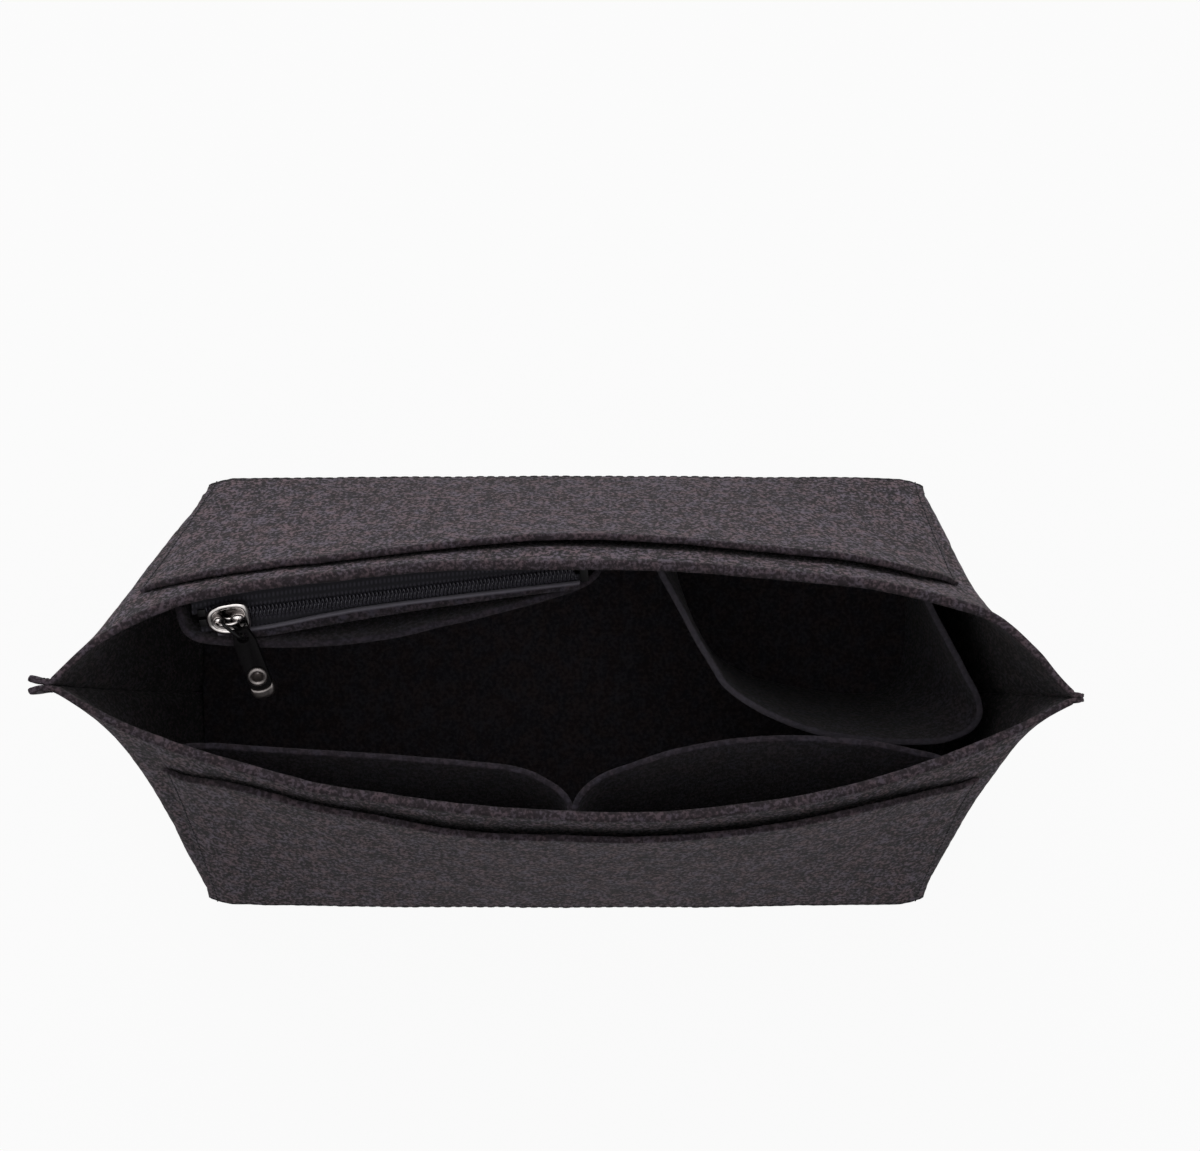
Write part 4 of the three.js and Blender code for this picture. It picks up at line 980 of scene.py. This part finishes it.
def bottle_holder():
    """A loop that stands off the back wall, its plan going from the foot's line to the top's."""
    h = HOLDER
    places = edge_places(*HOLDER_COLUMNS, POCKET_FELT / 2)
    top_line = against_wall("back", smooth_run(HOLDER_LINE, KNOT_STEPS), h["top"])
    top_line = resample(top_line, places)
    foot_line = smooth_run(HOLDER_FOOT_SHARES, KNOT_STEPS)
    foot_wall = wall_depth("back", h["left"], POCKET_FOOT) - HANG_GAP
    foot_line = resample(np.stack([
        mix(h["left"] + h["foot_left_in"], h["right"], foot_line[:, 0]),
        foot_wall - h["foot_reach"] * foot_line[:, 1]], -1), places)
    ahead = unit(np.gradient(foot_line, axis=0))
    foot_line += np.stack([ahead[:, 1], -ahead[:, 0]], -1) * POCKET_FELT / 2
    rows = edge_places(*HOLDER_ROWS, POCKET_FELT / 2)[:, None]
    height = np.broadcast_to(mix(POCKET_FOOT, h["top"], rows), (len(rows), len(places)))
    x, y = (mix(foot_line[:, k], top_line[:, k], rows) for k in (0, 1))
    limit = wall_depth("back", x, height) - HANG_GAP - POCKET_FELT / 2
    middle = smoothed(np.stack([x, np.minimum(y, limit), height], -1), 2)
    piece = felt_piece("bottle_loop_felt", middle[:, ::-1], POCKET_FELT, pocket_felt,
                       ["bottle_holder"], lumps=0.08, seed=41)
    # Painted highlight along the loop's top cut edge.
    painted_edge_highlight(piece, h["top"] - height, 0.22)
    return piece


# Zip frame, from the joints: along the chain, across it toward the wall, and out of the tapes

joints = {joint["name"]: joint for joint in frame["joints"]}
along, link_axis, pull_axis = (unit(np.array(joints[name]["axis"], float))
                               for name in ("slider_slide", "link_swing", "pull_swing"))
link_place, pull_place = (np.array(joints[name]["pos_m"], float) / MM
                          for name in ("link_swing", "pull_swing"))
lift = unit(np.cross(pull_axis, link_axis))
across = np.cross(lift, along)
zip_origin = link_place - LINK_ALONG * along - BAR_HEIGHT * lift


def in_zip(points):
    """Places along, across and out of the chain turned to places in the whole frame."""
    return zip_origin + points @ np.stack([along, across, lift])


def in_pull(points):
    """Places across the strap, up along it and out of it, from the axis on which it turns,
    turned to places in the whole frame."""
    return pull_place + points @ np.stack([-pull_axis, np.cross(lift, -pull_axis), lift])


def zip_line_at(x, offset, up=0.0):
    """The point where a line beside the chain crosses each x of the whole frame."""
    offset, up = (np.broadcast_to(value, len(x)) for value in (offset, up))
    run = (x - zip_origin[0] - offset * across[0] - up * lift[0]) / along[0]
    return zip_origin + run[:, None] * along + np.outer(offset, across) + np.outer(up, lift)


def panel_profiles(x):
    """Edge, knee and foot of the zip pocket's room face at each x."""
    edge = spread_mean(x, ZIP_PANEL_EDGE, 5)
    knee = -edge - spread_mean(x, ZIP_PANEL_LEG, 5)
    foot = np.full(len(x), ZIP_PANEL["foot"])
    foot_y = wall_depth("back", x, foot) - 2 * TOUCH_GAP - POCKET_FELT
    return (zip_line_at(x, -edge, PANEL_LIFT), zip_line_at(x, knee, PANEL_LIFT),
            np.stack([x, foot_y, foot], -1))


def strip(corners, counts, inset, radius):
    """A strip through corner lines, each a row of points along the zip: straight between them,
    rounded at the corners, set in from the drawn face by the inset, and with its rows close
    together at both cut edges, which are rounded to the radius."""
    rows = [mix(a, b, s) for a, b, n in zip(corners, corners[1:], counts)
            for s in np.linspace(0, 1, n, endpoint=False)]
    grid = np.array(rows + [corners[-1]])
    grid = np.swapaxes(smoothed(np.swapaxes(grid, 0, 1), 4), 0, 1)
    down = unit(np.gradient(grid, axis=0))
    grid = grid + np.stack([np.zeros_like(down[..., 0]), -down[..., 2], down[..., 1]], -1) * inset
    run = np.linalg.norm(np.diff(grid, axis=0), axis=-1).mean(1)
    run = np.concatenate([[0], np.cumsum(run)])
    places = edge_places(len(grid), run[-1], radius) * run[-1]
    row = np.clip(np.searchsorted(run, places, "right") - 1, 0, len(run) - 2)
    share = ((places - run[row]) / (run[row + 1] - run[row]))[:, None, None]
    return mix(grid[row], grid[row + 1], share)


def zip_pocket_panel():
    """The felt face of the zip pocket: flat beside the chain, then down to the wall."""
    x = mix(ZIP_PANEL["left"], ZIP_PANEL["right"],
            edge_places(*PANEL_COLUMNS, POCKET_FELT / 2))
    grid = strip(panel_profiles(x), (9, 56), POCKET_FELT / 2, POCKET_FELT / 2)
    piece = felt_piece("zip_pocket_felt", grid, POCKET_FELT, pocket_felt, ["zip_pocket_panel"],
                       lumps=0.05, seed=51)
    steps = np.linalg.norm(np.diff(grid, axis=0), axis=-1)
    # Painted highlight along the panel's cut edge beside the chain.
    painted_edge_highlight(piece, np.vstack([np.zeros((1, len(x))), np.cumsum(steps, axis=0)]), 0.8)
    return piece


def tape_strip(name, node, corners, counts, wall_side):
    """A closed strip of tape with a weave map that runs along it, in metres."""
    grid = strip(corners, counts, 0, ZIP_TAPE["thickness"] / 2)
    if wall_side:
        grid = grid[:, ::-1]
    points, faces = closed_sheet(grid, ZIP_TAPE["thickness"])
    piece = add_piece(name, points, faces, "organizer", woven_tape, [node])
    down = lengths_along(grid.mean(1))[:, None] * np.ones(grid.shape[1])
    chart = both_faces(np.stack([grid[..., 0], down], -1) * MM)
    layer = piece.data.uv_layers.new(name="weave")
    corner = np.zeros(len(piece.data.loops), int)
    piece.data.loops.foreach_get("vertex_index", corner)
    layer.data.foreach_set("uv", chart[corner].ravel())
    return piece


def lower_tape():
    """The tape from the chain to just under the edge of the pocket's felt."""
    x = mix(ZIP_START_X - ZIP_TAPE["lower_left_run"], ZIP_PANEL["right"],
            edge_places(*LOWER_TAPE_COLUMNS, ZIP_TAPE["thickness"] / 2))
    far = spread_mean(x, ZIP_PANEL_EDGE, 5) + spread_mean(x, ZIP_PANEL_LEG, 5)
    corners = (zip_line_at(x, -ZIP_TAPE["inner_edge"]),
               zip_line_at(x, TAPE_GAP + POCKET_FELT - far))
    return tape_strip("lower_tape", "zip_tape_lower", corners, (16,), False)


def upper_tape():
    """The tape from the chain to the wall and a little way up it. Where it meets the wall is
    found by rounds: the wall's place at a height, then the tape's height at that place."""
    x = mix(ZIP_START_X - ZIP_TAPE["left_run"], ZIP_END_X + ZIP_TAPE["right_run"],
            edge_places(*UPPER_TAPE_COLUMNS, ZIP_TAPE["thickness"] / 2))
    start = zip_line_at(x, ZIP_TAPE["inner_edge"])
    clear = TOUCH_GAP + ZIP_TAPE["thickness"] / 2
    meet_z = start[:, 2]
    for _ in range(12):
        wall = wall_depth("back", x, meet_z) - clear
        meet_z = start[:, 2] + (wall - start[:, 1]) * (across[2] / across[1])
    top_z = meet_z + spread_mean(x, TAPE_WALL_FLANGE, 5)
    corners = (start, np.stack([x, wall, meet_z], -1),
               np.stack([x, wall_depth("back", x, top_z) - clear, top_z], -1))
    return tape_strip("upper_tape", "zip_tape_upper", corners, (12, 8), True)


def coil_side(side, sign):
    """One row of nylon coil: a flat helix whose width is drawn by a cosine and whose height by
    a sine, the cosine sharpened so that the legs lie straight across the tape. Inside the
    slider the rows part round its post."""
    c = COIL
    turns = int((CHAIN_LENGTH - c["start"]) / c["pitch"]) - 1
    phase = 0 if sign > 0 else c["pitch"] / 2
    angle = np.linspace(0, turns * 2 * math.pi, turns * c["steps"] + 1)
    centre, half = (c["outer"] + c["inner"]) / 2, (c["outer"] - c["inner"]) / 2
    run = c["start"] + phase + c["pitch"] * angle / (2 * math.pi)
    parting = c["parting"] * ease((c["parted_until"] - run) / c["parting_run"])
    legs = half * np.tanh(c["sharp"] * np.cos(angle)) / math.tanh(c["sharp"])
    path = np.stack([run, sign * (centre + parting + legs),
                     c["middle"] + c["rise"] * np.sin(angle)], -1)
    rings = circles(path, c["wire"] / 2, c["sides"], [1.0, 0, 0])
    points, faces = closed_rings(with_tips(rings, path[[0, -1]]))
    return add_piece(side + "_coil", in_zip(points), faces, "organizer", nylon,
                     ["zip_coil_" + side])


# Metal and leather pieces

def softened(name, node, body, material, width):
    """A CAD piece copied with its loose triangles joined, its flat faces whole and its edges
    rounded."""
    mesh = frame["nodes"][node].data.copy()
    mesh.name = name
    bm = bmesh.new()
    bm.from_mesh(mesh)
    bmesh.ops.remove_doubles(bm, verts=bm.verts, dist=1e-6)
    bmesh.ops.dissolve_limit(bm, angle_limit=math.radians(1), verts=bm.verts, edges=bm.edges)
    bm.to_mesh(mesh)
    bm.free()
    piece = bpy.data.objects.new(name, mesh)
    bevel = piece.modifiers.new("rounding", "BEVEL")
    bevel.width = width * MM
    bevel.segments = 3
    bevel.limit_method = "ANGLE"
    bevel.angle_limit = math.radians(32)
    bevel.harden_normals = True
    return settle(piece, body, material, [node])


def pull_link():
    """A wire loop of two half circles and two straights round the crown's bar, in the plane
    square to the bar."""
    side = np.cross(lift, -link_axis)
    arc = np.linspace(-math.pi / 2, math.pi / 2, 25)
    round_end = LINK["radius"] * np.stack([np.cos(arc), np.sin(arc)], -1)
    straight = np.linspace(0, -LINK["straight"], 10)[1:-1]
    upper, lower = (np.column_stack([run, np.full(len(run), radius)])
                    for run, radius in ((straight, LINK["radius"]),
                                        (straight[::-1], -LINK["radius"])))
    loop = np.vstack([round_end, upper, -round_end - [LINK["straight"], 0], lower])
    path = link_place + loop[:, :1] * side + loop[:, 1:] * lift
    rings = circles(path, LINK["wire"] / 2, LINK["sides"], -link_axis, closed=True)
    index = wrapped(np.arange(len(path) * LINK["sides"]).reshape(len(path), -1))
    return add_piece("wire_link", rings, quads(np.vstack([index, index[:1]])), "link", lacquer,
                     ["pull_link"])


def rivet():
    """A ring rivet turned on its axis: a raised rounded ring round a sunk, hollow eye."""
    r = RIVET
    seat, back = r["seat"], -r["seat"] - r["back"]
    crest = np.linspace(0, math.pi, 13)
    crest = np.stack([(r["ring"] + r["bore"]) / 2 + (r["ring"] - r["bore"]) / 2 * np.cos(crest),
                      seat + 0.25 + (r["height"] - 0.25) * np.sin(crest)], -1)
    eye = [[1.4, seat - 0.4], [1.2, seat - 1.0], [0.7, seat - 1.9], [0, seat - 2.6]]
    foot = [[0, back], [2.0, back], [2.5, back + 0.25], [2.6, -seat], [1.9, -seat], [1.9, seat],
            [r["ring"], seat]]
    radius, height = np.vstack([foot, crest, eye]).T[:, :, None]
    turn = full_turn(40)
    rings = np.stack([radius * np.cos(turn), radius * np.sin(turn) - r["reach"],
                      height * np.ones(turn.size)], -1)
    points, faces = closed_rings(rings)
    return add_piece("ring_rivet", in_pull(points), faces, "pull", shaded_dull_nickel, ["pull_rivet"])


def slider_outline():
    """The slider's outline: a smooth curve through its half and that curve's mirror image."""
    half = smooth_run(SLIDER_OUTLINE, 6)
    return np.vstack([half * [1, -1], half[-2:0:-1]])


def slider_shell():
    """The top plate: rings of its outline drawn in and raised from a flat ceiling, down flanges
    at both sides, over a broad rounded rim and into a sunk field, which is marked for painted
    shade."""
    outline = slider_outline()
    f = SLIDER_FLANGE
    wall, ceiling = f["wall"], f["ceiling"]
    flange = ease((np.abs(outline[:, 1]) - f["from"]) / (f["to"] - f["from"]))
    foot = mix(ceiling, f["foot"], flange)
    places = [(0, ceiling, share) for share in (0, 0.4, 0.7)]
    places += [(wall + 0.1, ceiling), (wall, foot + 0.1), (wall - 0.15, foot), (0.18, foot),
               (0.04, foot + 0.12), *SLIDER_TOP_RIM]
    places += [(*SLIDER_TOP_RIM[-1], share) for share in (0.7, 0.4, 0)]
    rings = np.array([drawn_ring(outline, SLIDER_HALF, *place) for place in places])
    points, faces = closed_rings(rings)
    piece = add_piece("slider_shell", in_zip(points), faces, "slider", nickel, ["slider_body"])
    # Painted shade: the last rings, in the sunk field, are marked to be drawn dark.
    recess_shade = np.zeros(len(rings))
    recess_shade[-len(SLIDER_RECESS_SHADE):] = SLIDER_RECESS_SHADE
    point_attribute(piece, "recess_shade", np.concatenate([
        recess_shade[:1], np.repeat(recess_shade[1:-1], len(outline)), recess_shade[-1:]]))
    return piece


def slider_underside():
    """The bottom plate and the post between the plates, each a closed stack of rings."""
    outline = slider_outline() * [1, SLIDER_BASE_WIDTH]
    rim = SLIDER_BASE_RIM
    places = [(*rim[0], 0), (*rim[0], 0.5), *rim, (*rim[-1], 0.5), (*rim[-1], 0)]
    plate, plate_faces = closed_rings(np.array([drawn_ring(outline, SLIDER_HALF, *place)
                                                for place in places]))
    add_piece("slider_bottom_plate", in_zip(plate), plate_faces, "slider", nickel)
    p = SLIDER_POST
    turn = full_turn(24)
    oval = np.stack([p["long"] * np.cos(turn), p["wide"] * np.sin(turn)], -1)
    rings = np.array([drawn_ring(oval, (1, 1), 0, height, share) + [p["along"], 0, 0]
                      for height, share in ((p["foot"], 0), (p["foot"], 1), (p["head"], 1),
                                            (p["head"], 0))])
    post, post_faces = closed_rings(rings)
    add_piece("slider_post", in_zip(post), post_faces, "slider", nickel)


def slider_bridge():
    """The crown: ovals carried along an arched path, thin where the link hangs, and the two
    knobs and the rib that it springs from, each an ellipsoid sunk in the plate."""
    path = smooth_run(CROWN_PATH, 8)
    run = lengths_along(path) / lengths_along(path)[-1]
    wide = spread_mean(run, CROWN_WIDTH, 0.03)[:, None]
    ahead = unit(np.gradient(path, axis=0))
    up = np.stack([-ahead[:, 1], ahead[:, 0]], -1)
    turn = full_turn(20)
    rise = CROWN_DEPTH * np.sin(turn)[None, :] * np.ones_like(wide)
    rings = np.stack([path[:, :1] + up[:, :1] * rise, -wide * np.cos(turn),
                      path[:, 1:] + up[:, 1:] * rise], -1)
    points, faces = closed_rings(with_tips(rings, rings[[0, -1]].mean(1)))
    add_piece("slider_bridge", in_zip(points), faces, "slider", nickel, ["slider_crown"])
    dip = np.linspace(-math.pi / 2, math.pi / 2, 17)[:, None]
    turn = full_turn(28)
    ball = np.stack([np.cos(dip) * np.cos(turn), np.cos(dip) * np.sin(turn),
                     np.sin(dip) * np.ones(turn.size)], -1)
    for number, (middle, radii) in enumerate(CROWN_KNOBS):
        points, faces = closed_rings(ball * radii + middle)
        add_piece("crown_foot_%d" % number, in_zip(points), faces, "slider", nickel)


def strap_clip():
    """The folded metal clip on the strap's end: rings of its outline drawn in and raised, with a
    round far end and soft edges."""
    half = smooth_run(CAP_OUTLINE, 8)
    outline = np.vstack([half, half[-2:0:-1] * [-1, 1]]) - CAP_MIDDLE
    places = [(*CAP_RIM[0], 0), (*CAP_RIM[0], 0.5), *CAP_RIM]
    places += [(*CAP_RIM[-1], share) for share in (0.6, 0.3, 0)]
    rings = np.array([drawn_ring(outline, CAP_HALF, *place) + [*CAP_MIDDLE, 0]
                      for place in places])
    points, faces = closed_rings(rings)
    return add_piece("strap_clip", in_pull(points), faces, "pull", shaded_dull_nickel, ["pull_end_cap"])


# Assembly

for wall in ("back", "front"):
    wall_piece(wall)
    outer_pocket(wall)
seam_tabs()
front_inner_pocket()
back_slip_pocket()
bottle_holder()
zip_pocket_panel()
lower_tape()
upper_tape()
coil_side("upper", 1)
coil_side("lower", -1)

# New name, node, body, material and width of the rounding
for softened_piece in (
        ("base_felt", "base_panel", "organizer", wall_felt, 0.8),
        ("stiffener_board", "base_board", "organizer", board, 0.2),
        ("floor_cover", "floor_panel", "organizer", floor_felt, 0.7),
        ("tape_stop_upper", "zip_top_stop_upper", "organizer", lacquer, 0.15),
        ("tape_stop_lower", "zip_top_stop_lower", "organizer", lacquer, 0.15),
        ("chain_end_stop", "zip_bottom_stop", "organizer", lacquer, 0.15),
        ("leather_strap", "pull_strap", "pull", leather, 0.3)):
    softened(*softened_piece)
slider_shell()
slider_underside()
slider_bridge()
pull_link()
rivet()
strap_clip()

# The back pieces' columns run from right to left, the front ones' from left to right
for wall, first, last in (("back", "right", "left"), ("front", "left", "right")):
    felt = wall + "_wall_felt"
    stitches(wall + "_side_seam_thread", [
        seam_line(felt, "first column", FIN_REACH[first] - SEAM_INSET["side"]),
        seam_line(felt, "last column", FIN_REACH[last] - SEAM_INSET["side"]),
        seam_line(felt, "first row", SEAM_INSET["base"], span=(0.06, 0.94))])
    felt = wall + "_outer_pocket_felt"
    stitches(wall + "_pocket_thread", [
        seam_line(felt, edge, SEAM_INSET["outer_pocket"])
        for edge in ("first column", "last column", "first row")])
inner_seams = [seam_line(felt, edge, SEAM_INSET["inner_pocket"])
               for felt in ("front_pocket_felt", "slip_pocket_felt")
               for edge in ("first column", "last column")]
stitches("inner_pocket_thread",
         inner_seams + [seam_line("zip_pocket_felt", "first row", SEAM_INSET["zip_pocket"])])


# Floor, light and camera

def white_card():
    """Matte white card that shows as white in the picture and in polished metal, with a part of
    the shadows that fall on it."""
    material, shader = start_material("white_card", {
        "Base Color": (0.8, 0.8, 0.8, 1), "Roughness": 1.0})
    glow = add_node(material, "ShaderNodeEmission", {"Strength": 1.0})
    path = add_node(material, "ShaderNodeLightPath")
    seen = add_node(material, "ShaderNodeMath", {
        0: path.outputs["Is Camera Ray"], 1: path.outputs["Is Glossy Ray"]}, operation="MAXIMUM")
    seen = add_node(material, "ShaderNodeMath", {
        0: seen.outputs[0], 1: path.outputs["Is Transmission Ray"]}, operation="MAXIMUM")
    share = add_node(material, "ShaderNodeMath", {0: seen.outputs[0], 1: CARD_WHITE},
                     operation="MULTIPLY")
    blend = add_node(material, "ShaderNodeMixShader", {
        0: share.outputs[0], 1: shader.outputs[0], 2: glow.outputs[0]})
    plug(material, material.node_tree.nodes["Material Output"], {"Surface": blend.outputs[0]})
    return material


def lay_floor():
    """A square of white card at the height of the base."""
    low, high = -FLOOR_REACH, FLOOR_REACH
    mesh = bpy.data.meshes.new("floor")
    mesh.from_pydata([(low, low, 0), (high, low, 0), (high, high, 0), (low, high, 0)], [],
                     [(0, 1, 2, 3)])
    mesh.materials.append(white_card())
    floor = bpy.data.objects.new("floor", mesh)
    bpy.context.scene.collection.objects.link(floor)


def area_light(name, place, target, width, energy):
    """A soft rectangular lamp that looks at its target, with its lower edge level."""
    lamp = bpy.data.lights.new(name, "AREA")
    lamp.shape = "RECTANGLE"
    lamp.size, lamp.size_y = width
    lamp.energy = energy
    holder = bpy.data.objects.new(name, lamp)
    bpy.context.scene.collection.objects.link(holder)
    holder.location = place
    aim = np.array(target) - np.array(place)
    tilt = math.acos(-aim[2] / np.linalg.norm(aim))
    holder.rotation_euler = (tilt, 0, math.atan2(aim[1], aim[0]) - math.pi / 2)


def light_room():
    """A studio hung with dark cloth to head height and lit from a pale ceiling, brightest right
    overhead, and one soft lamp behind the insert. The camera and clear things see white beyond the
    floor, and polished metal sees the ceiling brighter."""
    world = bpy.data.worlds.new("studio")
    bpy.context.scene.world = world
    world.use_nodes = True
    direction = add_node(world, "ShaderNodeTexCoord").outputs["Generated"]
    parts = add_node(world, "ShaderNodeSeparateXYZ", {"Vector": direction})
    ceiling, overhead = (add_node(world, "ShaderNodeMapRange", {
        "Value": parts.outputs["Z"], "From Min": start, "From Max": end, "To Min": low,
        "To Max": high}, interpolation_type="SMOOTHSTEP")
        for start, end, low, high in CEILING_LIGHT)
    level = add_node(world, "ShaderNodeMath", {0: ceiling.outputs[0], 1: overhead.outputs[0]})
    path = add_node(world, "ShaderNodeLightPath")
    shine = add_node(world, "ShaderNodeMapRange", {
        "Value": path.outputs["Is Glossy Ray"], "To Min": 1.0, "To Max": CEILING_SHINE})
    level = add_node(world, "ShaderNodeMath", {0: level.outputs[0], 1: shine.outputs[0]},
                     operation="MULTIPLY")
    ground = world.node_tree.nodes["Background"]
    plug(world, ground, {"Strength": level.outputs[0], "Color": (1, 1, 1, 1)})
    paper = add_node(world, "ShaderNodeBackground", {"Color": (1, 1, 1, 1), "Strength": 1.0})
    seen = add_node(world, "ShaderNodeMath", {
        0: path.outputs["Is Camera Ray"], 1: path.outputs["Is Transmission Ray"]},
        operation="MAXIMUM")
    blend = add_node(world, "ShaderNodeMixShader", {
        0: seen.outputs[0], 1: ground.outputs[0], 2: paper.outputs[0]})
    plug(world, world.node_tree.nodes["World Output"], {"Surface": blend.outputs[0]})
    area_light("key", (-0.25, 1.5, 1.3), (0, 0, 0.1), (1.4, 0.9), 12)
    bpy.context.scene.view_settings.view_transform = "Standard"


def set_camera():
    """The photograph's camera: straight above, level with the frame, shifted to its framing."""
    lens = bpy.data.cameras.new("camera")
    camera = bpy.data.objects.new("camera", lens)
    bpy.context.scene.collection.objects.link(camera)
    camera.location = (0, 0, CAMERA_HEIGHT)
    lens.sensor_fit = "HORIZONTAL"
    lens.sensor_width = SENSOR
    lens.lens = SENSOR * FOCAL_PIXELS / PHOTO_WIDTH
    lens.shift_x = (PHOTO_WIDTH / 2 - OBJECT_AT[0]) / PHOTO_WIDTH
    lens.shift_y = (OBJECT_AT[1] - PHOTO_HEIGHT / 2) / PHOTO_WIDTH
    lens.clip_start = 0.05
    bpy.context.scene.camera = camera


lay_floor()
light_room()
set_camera()
